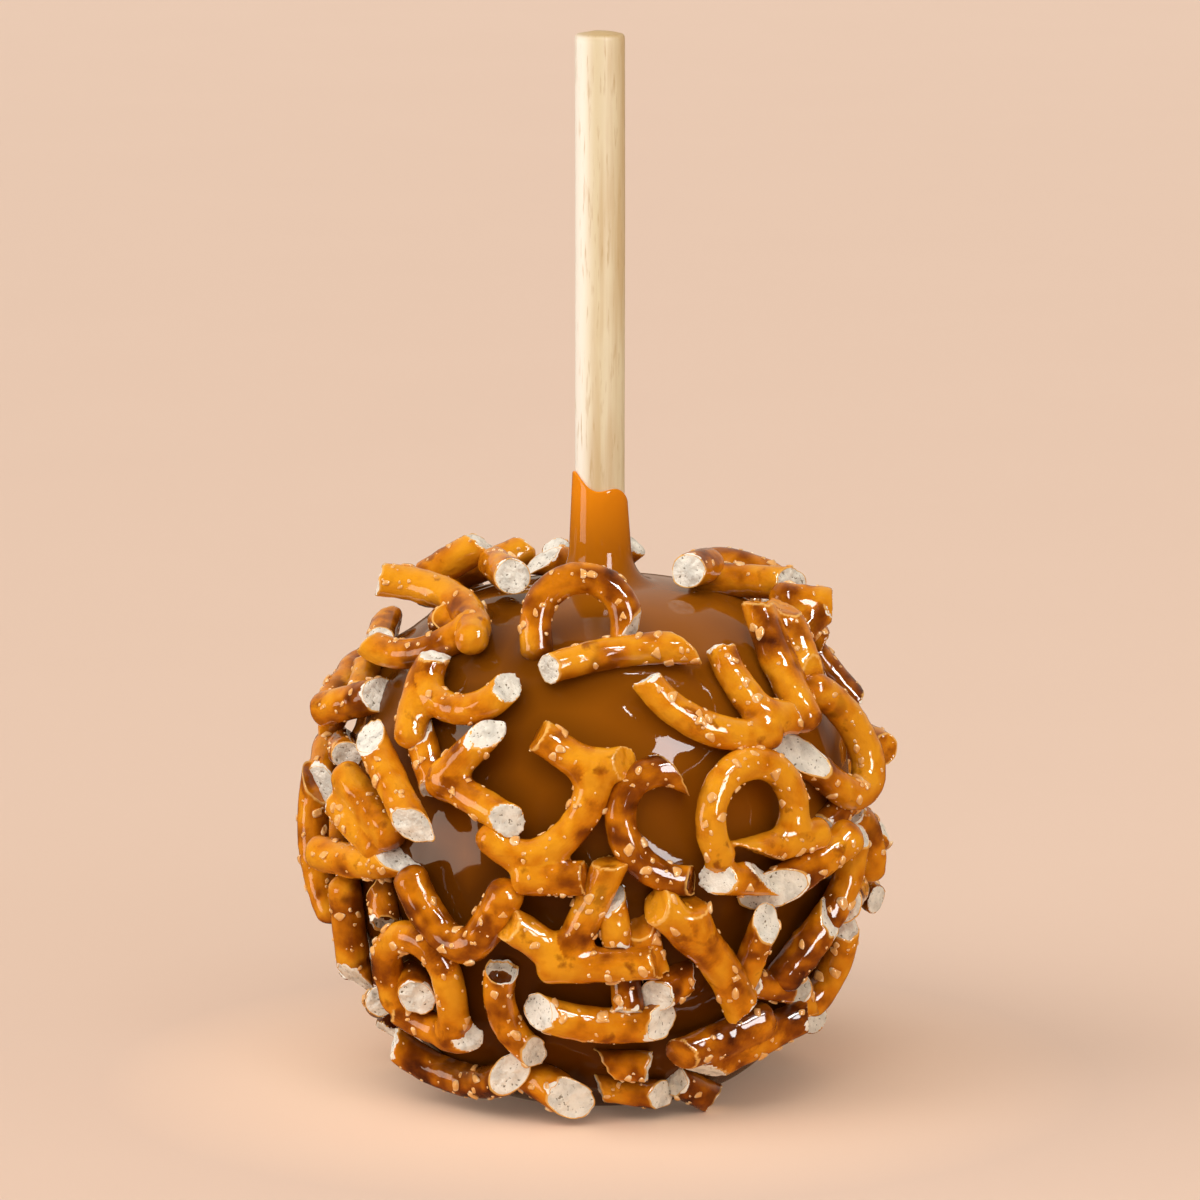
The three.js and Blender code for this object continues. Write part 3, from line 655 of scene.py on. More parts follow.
def place_on_apple(azimuth, height, lift, tip=0, swing=0, turned=0):
    """Place of a piece on the caramel: x to the right, y up the slope, z straight out."""
    turn = math.radians(azimuth)
    outward = Vector((math.sin(turn), -math.cos(turn), 0))
    right = Vector((math.cos(turn), math.sin(turn), 0))
    slope = float(apple_radius(height + SLOPE_STEP) - apple_radius(height - SLOPE_STEP)) / (2 * SLOPE_STEP)
    up = (outward * slope + Vector((0, 0, 1))).normalized()
    out = right.cross(up)
    point = outward * float(apple_radius(height)) + Vector((0, 0, height)) + out * lift
    basis = Matrix((right, up, out)).transposed().to_4x4()
    place = Matrix.Translation(point) @ basis @ Matrix.Rotation(math.radians(tip), 4, "X")
    place = place @ Matrix.Rotation(math.radians(-swing), 4, "Y")
    return np.array(place @ Matrix.Rotation(math.radians(turned), 4, "Z"))


def moved(points, place):
    """Points carried to a place."""
    return points @ place[:3, :3].T + place[:3, 3]


# Strands

@dataclass
class Strand:
    """One limb of a pretzel piece: its walk in the piece's plane and its two ends."""

    node: str
    place: np.ndarray
    walk: tuple
    radius: float
    start: tuple
    end: tuple
    bake: float
    seed: int

    def __post_init__(self):
        self.start_kind, self.end_kind = self.start[2], self.end[2]
        x, y, heading, *walk = self.walk
        knots = np.concatenate([[0], np.cumsum(walk[0::2])])
        turns = np.radians(heading + np.concatenate([[0], np.cumsum(walk[1::2])]))
        self.length = knots[-1]
        self.along = np.linspace(0, self.length, int(self.length / LINE_STEP) + 2)
        self.heading = np.interp(self.along, knots, turns)
        step = np.diff(self.along)
        middle = (self.heading[1:] + self.heading[:-1]) / 2
        self.x = x + np.concatenate([[0], np.cumsum(step * np.cos(middle))])
        self.y = y + np.concatenate([[0], np.cumsum(step * np.sin(middle))])

    def at(self, along):
        """Points and headings of the middle line, running on straight past its ends."""
        held = np.clip(along, 0, self.length)
        past = along - held
        heading = np.interp(held, self.along, self.heading)
        x = np.interp(held, self.along, self.x) + past * np.cos(heading)
        y = np.interp(held, self.along, self.y) + past * np.sin(heading)
        return np.stack([x, y, np.zeros_like(x)], -1), heading

    def middle_line(self, step):
        """Points along the middle, in the piece's plane."""
        count = max(2, round(self.length / step) + 1)
        return self.at(np.linspace(0, self.length, count))[0]


def cut_back(strand, cut, side, rise, seed):
    """How far each line along a strand is cut back by its broken end."""
    lean, toward, kind = cut
    turn = math.radians(toward)
    across = side * math.cos(turn) + rise * math.sin(turn)
    plain = strand.radius * math.tan(math.radians(lean)) * across
    rim = np.stack([side, rise, np.zeros_like(side)], -1) * strand.radius
    ragged = looks().pretzel.ragged / MM * RAGGED_SHARES[kind]
    return plain + ragged * layers(apart(rim, seed), RIM_LUMPS)


def strand_rings(strand):
    """Rings of points over a strand in its plane, the way out there, and how far its two ends are."""
    style = looks().pretzel
    count = max(LEAST_RINGS, round(strand.length / RING_GAP)) + 1
    turn = np.linspace(0, 2 * np.pi, RING_POINTS, endpoint=False)
    side = np.cos(turn)
    rise = np.where(np.sin(turn) < 0, UNDERSIDE * np.sin(turn), np.sin(turn))
    first = cut_back(strand, strand.start, side, rise, 2 * strand.seed)
    last = strand.length - cut_back(strand, strand.end, side, rise, 2 * strand.seed + 1)
    along = first + (last - first) * np.linspace(0, 1, count)[:, None]
    centre, heading = strand.at(along)
    level = np.broadcast_to(rise, heading.shape)
    out = np.stack([-np.sin(heading) * side, np.cos(heading) * side, level], -1)
    line = apart(centre, strand.seed)
    spot = apart(centre + strand.radius * out, strand.seed)
    blisters = np.maximum(0, layers(spot, BLISTER_LUMPS) - BLISTER_FROM)
    thick = style.swell / MM * (layers(line, SWELL_LUMPS) + layers(spot, GIRTH_LUMPS))
    thick += style.blister / MM * (layers(spot, SKIN_LUMPS) + BLISTER_GAIN * blisters)
    centre[..., 2] += style.swell / MM * layers(line, WANDER_LUMPS)
    return centre + (strand.radius + thick)[..., None] * out, out, (along - first, last - along)


def bare_share(rings, gaps, strand):
    """How far crust is chipped off beside the fresh breaks, from 0 to 1."""
    chip = looks().pretzel.chip / MM * (layers(apart(rings, strand.seed), CHIP_LUMPS) - CHIP_LESS)
    bare = np.zeros(rings.shape[:2])
    for gap, kind in zip(gaps, (strand.start_kind, strand.end_kind)):
        if kind in (FRESH, HOLLOW):
            bare = np.maximum(bare, np.clip((chip - gap) / CHIP_EDGE + 0.5, 0, 1) * (chip > 0))
    return bare


def gap_to(points, line, radius):
    """How far points are from the skin of a strand along a line."""
    return np.linalg.norm(points[..., None, :] - line, axis=-1).min(-1) - radius


def soften_joint(rings, out, others):
    """Swells a strand where the other limbs of its piece run into it."""
    for other in others:
        gap = gap_to(rings, other.middle_line(CREEP_STEP), other.radius)
        share = np.maximum(0, 1 - np.abs(gap) / JOINT_FILLET)
        rings = rings + out * (JOINT_SWELL * share ** 2)[..., None]
    return rings


def end_cap(rim, kind, way, radius, seed):
    """Rings that close a broken end, from just inside its rim to its middle."""
    middle = rim.mean(0)
    arms = rim - middle
    face = np.cross(arms, np.roll(arms, -1, 0)).sum(0)
    face *= way / np.linalg.norm(face)
    share = np.array(CAP_SHARES + (0,))[:, None]
    wave = (arms @ face) * share * (1 - share ** CAP_FLATNESS)
    cap = middle + arms * share[..., None] - wave[..., None] * face
    depth = looks().pretzel.crumb_relief / MM * RAGGED_SHARES[kind]
    push = depth * layers(apart(cap, seed), CRUMB_LUMPS) * np.minimum(1, CRUMB_RISE * (1 - share))
    if kind == HOLLOW:
        push = push - HOLLOW_DEPTH * (1 - share ** HOLLOW_FULLNESS)
    if kind == ROUND:
        push = push + DOME_SHARE * radius * np.sqrt(1 - share ** 2)
    cap = cap + push[..., None] * face
    cap[-1] = cap[-1].mean(0)
    return cap


def cap_rows(kind):
    """Which rings of a broken end, from the rim to the middle, are crumb, the crust's edge, lightened
    partly as a painted highlight, and painted shade deep inside a hollow end.
    """
    row = np.arange(len(CAP_SHARES) + 1)
    # Painted shade: deep inside a hollow end the crust is painted darkest
    burnt_and_shade = (row >= HOLLOW_SHADE_FROM) & (kind == HOLLOW)
    crumb = (row >= CRUMB_FROM) & (kind in (FRESH, HOLLOW)) & ~burnt_and_shade
    edge = (row < CRUMB_FROM) & (kind != ROUND)
    return crumb, edge, burnt_and_shade


class Shell:
    """Points, faces and values of one mesh piece, gathered part by part."""

    def __init__(self):
        self.points, self.quads, self.tris = [], [], []
        self.quad_marks, self.tri_marks = [], []
        self.values = {}
        self.count = 0

    def add(self, points, quads, tris, quad_marks, tri_marks, **values):
        """Adds a part: its points and faces, the faces' marks, and values at the points."""
        self.points.append(points)
        self.quads.append(quads + self.count)
        self.tris.append(tris + self.count)
        self.quad_marks.append(quad_marks)
        self.tri_marks.append(tri_marks)
        for name, value in values.items():
            self.values.setdefault(name, []).append(value)
        self.count += len(points)

    def gathered(self):
        """All points, quads, triangles, marks of the faces, and values."""
        marks = np.concatenate([*self.quad_marks, *self.tri_marks])
        values = {name: np.concatenate(parts) for name, parts in self.values.items()}
        arrays = (np.concatenate(parts) for parts in (self.points, self.quads, self.tris))
        return *arrays, marks, values

    def to_piece(self, name, materials, nodes=(), slot=None):
        """Makes the mesh object, smooth, riding on the frame and standing for the nodes."""
        mesh = bpy.data.meshes.new(name)
        points, quads, tris, marks, values = self.gathered()
        points = points * MM
        corners = np.concatenate([quads.ravel(), tris.ravel()]).astype(np.int32)
        starts = np.concatenate([np.arange(len(quads)) * 4, len(quads) * 4 + np.arange(len(tris)) * 3])
        mesh.vertices.add(len(points))
        mesh.vertices.foreach_set("co", points.ravel().astype(np.float32))
        mesh.loops.add(len(corners))
        mesh.loops.foreach_set("vertex_index", corners)
        mesh.polygons.add(len(starts))
        mesh.polygons.foreach_set("loop_start", starts.astype(np.int32))
        for value_name, value in values.items():
            attribute = mesh.attributes.new(value_name, "FLOAT", "POINT")
            attribute.data.foreach_set("value", value.astype(np.float32))
        for material in materials:
            mesh.materials.append(material)
        mesh.update(calc_edges=True)
        mesh.polygons.foreach_set("material_index", marks.astype(np.int32))
        mesh.shade_smooth()
        if mesh.validate():
            raise RuntimeError(f"the mesh of {name} has faulty faces")
        piece = bpy.data.objects.new(name, mesh)
        bpy.context.scene.collection.objects.link(piece)
        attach(piece, BODY)
        if nodes:
            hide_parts(*nodes)


def band_faces(first, second):
    """Quads between two rings of points, facing left of the way from first to second."""
    return np.stack([first, np.roll(first, -1), np.roll(second, -1), second], -1)


def add_tube(shell, rings, marks, **values):
    """Adds rings of points to a shell, with a mark for each band. The end rings are one point each."""
    sides = rings.shape[1]
    index = 1 + np.arange((len(rings) - 2) * sides).reshape(-1, sides)
    quads = np.concatenate([band_faces(first, second) for first, second in zip(index, index[1:])])
    low = np.stack([np.zeros(sides, int), np.roll(index[0], -1), index[0]], -1)
    high = np.stack([index[-1], np.roll(index[-1], -1), np.full(sides, 1 + index.size)], -1)
    fans = np.concatenate([low, high])

    def listed(grid):
        middle = grid[1:-1].reshape(-1, *grid.shape[2:])
        return np.concatenate([grid[0, :1], middle, grid[-1, :1]])

    values = {name: listed(value) for name, value in values.items()}
    quad_marks = np.repeat(marks[1:-1], sides)
    fan_marks = np.repeat([marks[0], marks[-1]], sides)
    shell.add(listed(rings), quads, fans, quad_marks, fan_marks, **values)


def add_lathe(shell, rings, **values):
    """Adds rings of points with closed ends to a shell."""
    first, last = (np.broadcast_to(ring.mean(0), ring.shape)[None] for ring in (rings[0], rings[-1]))
    values = {name: np.pad(value, ((1, 1), (0, 0)), "edge") for name, value in values.items()}
    add_tube(shell, np.concatenate([first, rings, last]), np.zeros(len(rings) + 1), **values)


def add_strand(shell, strand, others):
    """Adds a strand with its broken ends to a shell."""
    rings, out, gaps = strand_rings(strand)
    bare = bare_share(rings, gaps, strand)
    # Light rim round each break: partly the crust's own golden edge, partly a painted highlight
    edge = np.zeros(bare.shape)
    edge[0] = strand.start_kind != ROUND
    edge[-1] = strand.end_kind != ROUND
    burnt_and_shade = np.zeros(bare.shape)
    rings = soften_joint(rings - CHIP_DEPTH * bare[..., None] * out, out, others)
    start = end_cap(rings[0], strand.start_kind, -1, strand.radius, 2 * strand.seed)
    end = end_cap(rings[-1], strand.end_kind, 1, strand.radius, 2 * strand.seed + 1)
    first, last = cap_rows(strand.start_kind), cap_rows(strand.end_kind)
    marks = np.concatenate([first[0][::-1], np.zeros(len(rings) - 1), last[0]])
    rings = np.concatenate([start[::-1], rings, end])
    bare, edge, burnt_and_shade = (
        np.concatenate([np.tile(low[::-1, None], RING_POINTS), middle, np.tile(high[:, None], RING_POINTS)])
        for low, middle, high in zip(first, (bare, edge, burnt_and_shade), last))
    spot = apart(rings, strand.seed)
    world = moved(rings, strand.place)
    # Painted shade: the crust is made browner low down, where less light reaches, and darker near the
    # caramel, where soak stands both for caramel soaked in and for shade under the strand
    low = np.clip(1 - world[..., 2] / LOW_SHADE_HEIGHT, 0, 1)
    # Deep inside hollow ends the bake goes to its darkest as painted shade
    bake = strand.bake + LOW_SHADE * low + layers(spot, BAKE_LUMPS) + burnt_and_shade
    smear = SMEAR_SHARE * np.clip(layers(spot, SMEAR_LUMPS) - SMEAR_LESS, 0, 1)
    soak = 1 - height_over_caramel(world) / SOAK_AND_SHADE_REACH + layers(spot, SOAK_LUMPS) + smear
    world[..., 2] = np.maximum(world[..., 2], FLOOR_HEIGHT)
    add_tube(
        shell, world, marks, bake=np.clip(bake, 0, 1), soak=np.clip(soak, 0, 1), bare=bare, edge=edge)


def skin_over(points, faces):
    """Points and quads of one even skin over closed forms that run into each other."""
    rough = bpy.data.meshes.new("limbs")
    rough.from_pydata(points.tolist(), [], faces)
    holder = bpy.data.objects.new("limbs", rough)
    bpy.context.scene.collection.objects.link(holder)
    skin = holder.modifiers.new("skin", "REMESH")
    skin.mode = "VOXEL"
    skin.voxel_size = SKIN_CELL
    made = bpy.data.meshes.new_from_object(holder.evaluated_get(bpy.context.evaluated_depsgraph_get()))
    corners = np.empty(3 * len(made.vertices), np.float32)
    made.vertices.foreach_get("co", corners)
    loops = np.empty(len(made.loops), np.int32)
    made.loops.foreach_get("vertex_index", loops)
    if len(loops) != 4 * len(made.polygons):
        raise RuntimeError("the skin is not made of quads alone")
    bpy.data.objects.remove(holder)
    for used in (rough, made):
        bpy.data.meshes.remove(used)
    return corners.reshape(-1, 3).astype(float), loops.reshape(-1, 4).astype(int)


def relax(points, quads, weight, rounds):
    """Moves points towards the middle of their neighbours."""
    edges = np.concatenate([quads[:, [0, 1]], quads[:, [1, 2]], quads[:, [2, 3]], quads[:, [3, 0]]])
    edges = np.unique(np.sort(edges, 1), axis=0)
    ends = np.concatenate([edges, edges[:, ::-1]])
    count = np.bincount(ends[:, 0], minlength=len(points))
    for _ in range(rounds):
        sums = [np.bincount(ends[:, 0], points[ends[:, 1], axis], len(points)) for axis in range(3)]
        points = points + weight[:, None] * (np.stack(sums, -1) / count[:, None] - points)
    return points


def fuse(shell, strands):
    """One skin over limbs that run into each other, soft at the joints."""
    points, quads, tris, marks, values = shell.gathered()
    faces = [*map(tuple, quads.tolist()), *map(tuple, tris.tolist())]
    skin, skin_quads = skin_over(points, faces)
    tree = BVHTree.FromPolygons(points.tolist(), faces)
    near = np.array([tree.find_nearest(point)[2] for point in skin.tolist()])
    first = np.array([face[0] for face in faces])[near]
    lines = [moved(strand.middle_line(CREEP_STEP), strand.place) for strand in strands]
    gaps = [np.abs(gap_to(skin, line, strand.radius)) for line, strand in zip(lines, strands)]
    second = np.sort(gaps, 0)[1]
    weight = JOINT_LEAST_EASE + JOINT_EASE * np.clip(1 - second / JOINT_FILLET, 0, 1)
    skin = relax(skin, skin_quads, weight, JOINT_ROUNDS)
    skin_marks = marks[near][skin_quads].mean(1) > 0.5
    values = {name: value[first] for name, value in values.items()}
    fused = Shell()
    fused.add(skin, skin_quads, np.zeros((0, 3), int), skin_marks, np.zeros(0), **values)
    return fused


def random_end(draw):
    """A break that mostly shows its face."""
    lean = around(draw, *DRAWN_LEAN)
    return lean, around(draw, *DRAWN_WAY), FRESH if draw() > GLAZED_BELOW else GLAZED


def back_pieces():
    """Rows of pieces round the back, the kinds in turn, each wandering a little from its place."""
    draw = make_draw(BACK_SEED)
    finish = make_draw(BACK_SEED + 1)
    pieces = []
    for height, count, first, last in BACK_ROWS:
        for i in range(count):
            number = len(pieces)
            azimuth = first + (last - first) * i / (count - 1) + BACK_WANDER["azimuth"] * draw()
            level = height + BACK_WANDER["height"] * draw()
            tip = BACK_WANDER["tilt"] * draw()
            swing = BACK_WANDER["tilt"] * draw()
            turned = BACK_TURNS[number % len(BACK_TURNS)] + BACK_WANDER["turn"] * draw()
            limbs = []
            for x, y, heading, *walk in BACK_KINDS[number % len(BACK_KINDS)]:
                scaled = [value if k % 2 else value * BACK_SCALE for k, value in enumerate(walk)]
                limb = (x * BACK_SCALE, y * BACK_SCALE, heading, *scaled)
                limbs.append((limb, random_end(finish), random_end(finish)))
            place = (azimuth, level, BACK_LIFT, tip, swing, turned)
            bake = around(finish, *DRAWN_BAKE)
            pieces.append((f"back_{number + 1:02d}", place, 1, bake, tuple(limbs)))
    return pieces


@functools.cache
def pretzel_strands():
    """All strands of the pretzel nodes."""
    strands = []
    for name, place, girth, bake, limbs in (*FRONT_PIECES, *back_pieces()):
        spot = place_on_apple(*place)
        for walk, start, end in limbs:
            radius = looks().pretzel.radius / MM * girth
            strands.append(Strand(f"pretzel_{name}", spot, walk, radius, start, end, bake, len(strands)))
    return strands


def tested_stubs():
    """Stubs listed for the front, and more spread evenly over the back."""
    draw = make_draw(BACK_SEED)
    stubs = list(STUBS)
    count, low, high = BACK_STUBS["count"], BACK_STUBS["low"], BACK_STUBS["high"]
    for i in range(count):
        azimuth = BACK_STUBS["from"] + (BACK_STUBS["to"] - BACK_STUBS["from"]) * (i * GOLDEN_SHARE % 1)
        height = low + (high - low) * (i + 0.5) / count
        heading = 180 * draw()
        length = around(draw, BACK_STUBS["length"], BACK_STUBS["spread"])
        stubs.append((azimuth, height, heading, length, BACK_STUBS["rise"] * (1 + draw())))
    return stubs


@functools.cache
def stub_strands():
    """Those of the stubs that the solid apple carries."""
    finish = make_draw(BACK_SEED + 2)
    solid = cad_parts["caramel_apple"].data
    corners = [vertex.co / MM for vertex in solid.vertices]
    tree = BVHTree.FromPolygons(corners, [tuple(face.vertices) for face in solid.polygons])
    strands = []
    for azimuth, height, heading, length, rise, *broken in tested_stubs():
        tilt = np.array(Matrix.Rotation(math.radians(-rise), 4, "Y"))
        place = place_on_apple(azimuth, height, STUB_LIFT, 0, 0, heading) @ tilt
        walk = (-length / 2, 0, 0, length, 0)
        start, end = random_end(finish), random_end(finish)
        bake, seed = around(finish, *DRAWN_BAKE), STUB_SEEDS + len(strands)
        end, girth = (*broken, *(end, 1)[len(broken):])
        strand = Strand("caramel_apple", place, walk, STUB_RADIUS * girth, start, end, bake, seed)
        crest = strand.middle_line(length / (STUB_TESTS - 1)) + (0, 0, strand.radius)
        near = [tree.find_nearest(Vector(point))[3] < STUB_REACH for point in moved(crest, place)]
        if sum(near) * 2 > len(near):
            strands.append(strand)
    return strands


# Materials

def feed(tree, node, values):
    """Gives a node's sockets their values or links."""
    for socket, value in values.items():
        if isinstance(value, bpy.types.NodeSocket):
            tree.links.new(value, node.inputs[socket])
        else:
            node.inputs[socket].default_value = value


def add_node(tree, kind, values=(), **settings):
    """A shader node with its settings, and values or links for its sockets."""
    node = tree.nodes.new(kind)
    for name, value in settings.items():
        setattr(node, name, value)
    feed(tree, node, dict(values))
    return node


def new_finish(name):
    """A material, its node tree and its shader."""
    material = bpy.data.materials.new(name)
    material.use_nodes = True
    return material, material.node_tree, material.node_tree.nodes["Principled BSDF"]


def set_shader(tree, shader, **values):
    """Values or links for a shader's sockets, named with underscores."""
    feed(tree, shader, {name.replace("_", " "): value for name, value in values.items()})


def speckle(tree, scale, detail=3, stretch=(1, 1, 1)):
    """Noise over the object in its own space, with this many lumps a metre."""
    space = add_node(tree, "ShaderNodeTexCoord")
    mapping = add_node(tree, "ShaderNodeMapping", {"Vector": space.outputs["Object"], "Scale": stretch})
    values = {"Vector": mapping.outputs[0], "Scale": scale, "Detail": detail}
    return add_node(tree, "ShaderNodeTexNoise", values).outputs["Fac"]


def ramp(tree, factor, *stops):
    """A colour for a value, from stops of position and colour."""
    node = add_node(tree, "ShaderNodeValToRGB", {"Fac": factor})
    elements = node.color_ramp.elements
    while len(elements) < len(stops):
        elements.new(1)
    for element, (position, colour) in zip(elements, stops):
        element.position = position
        element.color = (*colour, 1)
    return node.outputs["Color"]


def mask(tree, value, low, high, first=0, last=1):
    """A grey that runs from a first to a last shade between two values."""
    return ramp(tree, value, (low, (first,) * 3), (high, (last,) * 3))


def between(tree, value, low, high):
    """A value from 0 to 1 brought between two bounds."""
    values = {"Value": value, "To Min": low, "To Max": high}
    return add_node(tree, "ShaderNodeMapRange", values).outputs["Result"]


def share_of(tree, value, low, high):
    """Where a value lies between two bounds, from 0 to 1."""
    values = {"Value": value, "From Min": low, "From Max": high}
    return add_node(tree, "ShaderNodeMapRange", values).outputs["Result"]


def blend(tree, factor, first, second):
    """Two colours, each a link or three numbers, mixed by a value."""
    first, second = (
        colour if isinstance(colour, bpy.types.NodeSocket) else (*colour, 1) for colour in (first, second))
    return add_node(tree, "ShaderNodeMix", {0: factor, 6: first, 7: second}, data_type="RGBA").outputs[2]


def surface_value(tree, name):
    """A value that the mesh holds at its points."""
    return add_node(tree, "ShaderNodeAttribute", attribute_name=name).outputs["Fac"]


def relief(tree, height, depth):
    """Fine relief from a value, as deep as given."""
    values = {"Height": height, "Distance": depth * MM, "Strength": 1}
    return add_node(tree, "ShaderNodeBump", values).outputs["Normal"]


def total(tree, first, second, share):
    """A value with a share of another, about its middle, added."""
    away = add_node(tree, "ShaderNodeMath", {0: second, 1: -0.5}, operation="ADD").outputs[0]
    values = {0: away, 1: share, 2: first}
    return add_node(tree, "ShaderNodeMath", values, operation="MULTIPLY_ADD").outputs[0]


@functools.cache
def crust_finish():
    """Glazed crust, from golden to dark by bake and painted shade, soaked and in painted shade near the
    caramel, with rims lighter, partly painted highlight.
    """
    style = looks().pretzel
    material, tree, shader = new_finish("pretzel_crust")
    mottle = speckle(tree, *CRUST_MOTTLE)
    baked = total(tree, surface_value(tree, "bake"), mottle, MOTTLE_SHARE)
    colour = ramp(tree, baked, *zip(BAKE_STOPS, (style.golden, style.amber, style.brown, style.dark)))
    burnt_and_shade = mask(tree, speckle(tree, *CRUST_BURNS), *BURN_RUN, last=style.spots)
    colour = blend(tree, burnt_and_shade, colour, style.brown)
    # Painted shade near the caramel, with the caramel soaked into the crust
    colour = blend(tree, surface_value(tree, "soak"), colour, style.soaked)
    # Lighter rims at breaks: golden crust edge and painted highlight
    colour = blend(tree, between(tree, surface_value(tree, "edge"), 0, RIM_HIGHLIGHT_SHARE), colour, style.rim)
    chipped = total(tree, surface_value(tree, "bare"), speckle(tree, *CRUST_CHIPS), CHIP_SHARE)
    chipped = mask(tree, chipped, *CHIP_RUN)
    colour = blend(tree, chipped, colour, style.crumb)
    uneven = total(tree, speckle(tree, *CRUST_PITS), speckle(tree, *CRUST_DENTS), DENT_SHARE)
    set_shader(
        tree, shader, Base_Color=colour, Roughness=between(tree, mottle, *CRUST_ROUGHNESS),
        Coat_Weight=mask(tree, chipped, 0, 1, first=1, last=0), Coat_Roughness=0.07, Coat_IOR=1.5,
        Specular_IOR_Level=0, Normal=relief(tree, uneven, CRUST_RELIEF))
    return material


@functools.cache
def crumb_finish():
    """Dry crumb of a broken strand, cream with patches of painted shade and dark pores painted as shade in
    its holes.
    """
    style = looks().pretzel
    material, tree, shader = new_finish("pretzel_crumb")
    holes = speckle(tree, *CRUMB_HOLES)
    # Patches of painted shade over the cream crumb
    shade = tuple(CRUMB_SHADE * part for part in style.crumb)
    cream = ramp(tree, speckle(tree, *CRUMB_PATCHES), *zip(CRUMB_STOPS, (shade, style.crumb)))
    # Pores painted dark: painted shade in the holes
    colour = blend(tree, mask(tree, holes, *PORE_RUN, first=1, last=0), cream, style.pore_shade)
    set_shader(
        tree, shader, Base_Color=colour, Roughness=0.95, Specular_IOR_Level=0.2,
        Normal=relief(tree, holes, CRUMB_RELIEF))
    return material


def caramel_finish():
    """Set caramel, glossy, darker where it is thick and in painted shade round the pieces, and lighter
    where it is a thin film.
    """
    style = looks().caramel
    material, tree, shader = new_finish("caramel")
    # Painted shade: the deep colour goes where the pieces shade the caramel and where it is thick
    colour = blend(tree, surface_value(tree, "thick"), style.body, style.deep)
    colour = blend(tree, surface_value(tree, "thin"), colour, style.thin)
    set_shader(
        tree, shader, Base_Color=colour, Roughness=style.roughness, Coat_Weight=0.9, Coat_Roughness=0.03,
        Coat_IOR=1.38, Specular_IOR_Level=0,
        Normal=relief(tree, speckle(tree, *CARAMEL_RIPPLES), CARAMEL_RELIEF))
    return material


def salt_finish():
    """Salt under glaze, paler at its rims, partly its own pale salt and partly painted light scattered at
    the edges.
    """
    style = looks().salt
    material, tree, shader = new_finish("salt")
    # Paler at the rims: partly painted light
    edge = total(tree, surface_value(tree, "rim"), speckle(tree, *SALT_CLOUDS), CLOUD_SHARE)
    colour = ramp(tree, edge, *zip(SALT_STOPS, (style.glazed, style.pale)))
    set_shader(
        tree, shader, Base_Color=colour, Roughness=0.5, Coat_Weight=0.9, Coat_Roughness=0.06,
        Specular_IOR_Level=0, Normal=relief(tree, speckle(tree, *SALT_PITS), SALT_RELIEF))
    return material


def wood_finish():
    """Bare birch, painted palest on the left as painted light from the left, with tan patches, long grain,
    brown flecks and a tan sawn end.
    """
    style = looks().stick
    material, tree, shader = new_finish("birch_wood")
    grain = speckle(tree, *WOOD_GRAIN)
    tan = total(tree, grain, speckle(tree, *WOOD_PATCHES), PATCH_SHARE)
    colour = ramp(tree, tan, *zip(WOOD_STOPS, (style.grain, style.pale)))
    flecks = mask(tree, speckle(tree, *WOOD_FLECKS), *FLECK_RUN, last=FLECK_SHARE)
    # Painted light on the stick's left side
    colour = blend(tree, surface_value(tree, "sap"), colour, style.sap)
    colour = blend(tree, flecks, colour, style.fleck)
    sawn = between(tree, surface_value(tree, "sawn"), 0, SAWN_SHARE)
    colour = blend(tree, sawn, colour, style.fleck)
    set_shader(
        tree, shader, Base_Color=colour, Roughness=0.55, Coat_Weight=0.25, Coat_Roughness=0.4,
        Normal=relief(tree, grain, WOOD_RELIEF))
    return material


def floor_finish():
    """Plain pale paper, faintly mottled, painted paler round the apple, lifting its shadow, and far behind,
    and glowing a little as painted light.
    """
    style = looks().stage
    material, tree, shader = new_finish("floor")
    space = add_node(tree, "ShaderNodeTexCoord").outputs["Object"]
    depth = add_node(tree, "ShaderNodeSeparateXYZ", {0: space}).outputs["Y"]
    uneven = total(tree, share_of(tree, depth, *FLOOR_RUN), speckle(tree, *FLOOR_CLOUDS), FLOOR_UNEVEN)
    colour = ramp(tree, uneven, *zip(FLOOR_STOPS, (style.floor, style.mid_floor, style.far_floor)))
    away = add_node(tree, "ShaderNodeVectorMath", {0: space}, operation="LENGTH").outputs["Value"]
    # Painted light: paler round the apple's foot, lifting its shadow
    colour = blend(tree, share_of(tree, away, *NEAR_LIGHT_RUN), style.near_floor_light, colour)
    # A faint glow on the floor, painted light that lifts its shadows
    set_shader(tree, shader, Base_Color=colour, Roughness=0.9, Emission_Color=colour, Emission_Strength=0.1)
    return material


def surround_finish():
    """Light from all round, brighter from behind, and dim from below."""
    style = looks().stage
    world = bpy.data.worlds.new("surround")
    world.use_nodes = True
    tree = world.node_tree
    space = add_node(tree, "ShaderNodeTexCoord").outputs["Generated"]
    way = add_node(tree, "ShaderNodeVectorMath", {0: space, 1: SURROUND_WAY}, operation="DOT_PRODUCT")
    back = share_of(tree, way.outputs["Value"], *SURROUND_RUN)
    colour = ramp(tree, back, (0, style.before), (1, style.behind))
    height = add_node(tree, "ShaderNodeSeparateXYZ", {0: space}).outputs["Z"]
    colour = blend(tree, share_of(tree, height, *HORIZON_RUN), style.below, colour)
    feed(tree, tree.nodes["Background"], {"Color": colour})
    return world


# Turned forms

def steps_to(last, count):
    """Even steps up to a last value, without the 0 that they start from."""
    return np.linspace(0, last, count + 1)[1:]


def turned_rings(profile, sides):
    """Rings of points from an outline of radii and heights turned round the axis, with their azimuths."""
    azimuth = np.linspace(0, 2 * np.pi, sides, endpoint=False)
    radius = np.broadcast_to(profile[:, :1], (len(profile), sides))
    height = np.broadcast_to(profile[:, 1:], radius.shape)
    return np.stack([radius * np.sin(azimuth), -radius * np.cos(azimuth), height], -1), azimuth


# Caramel

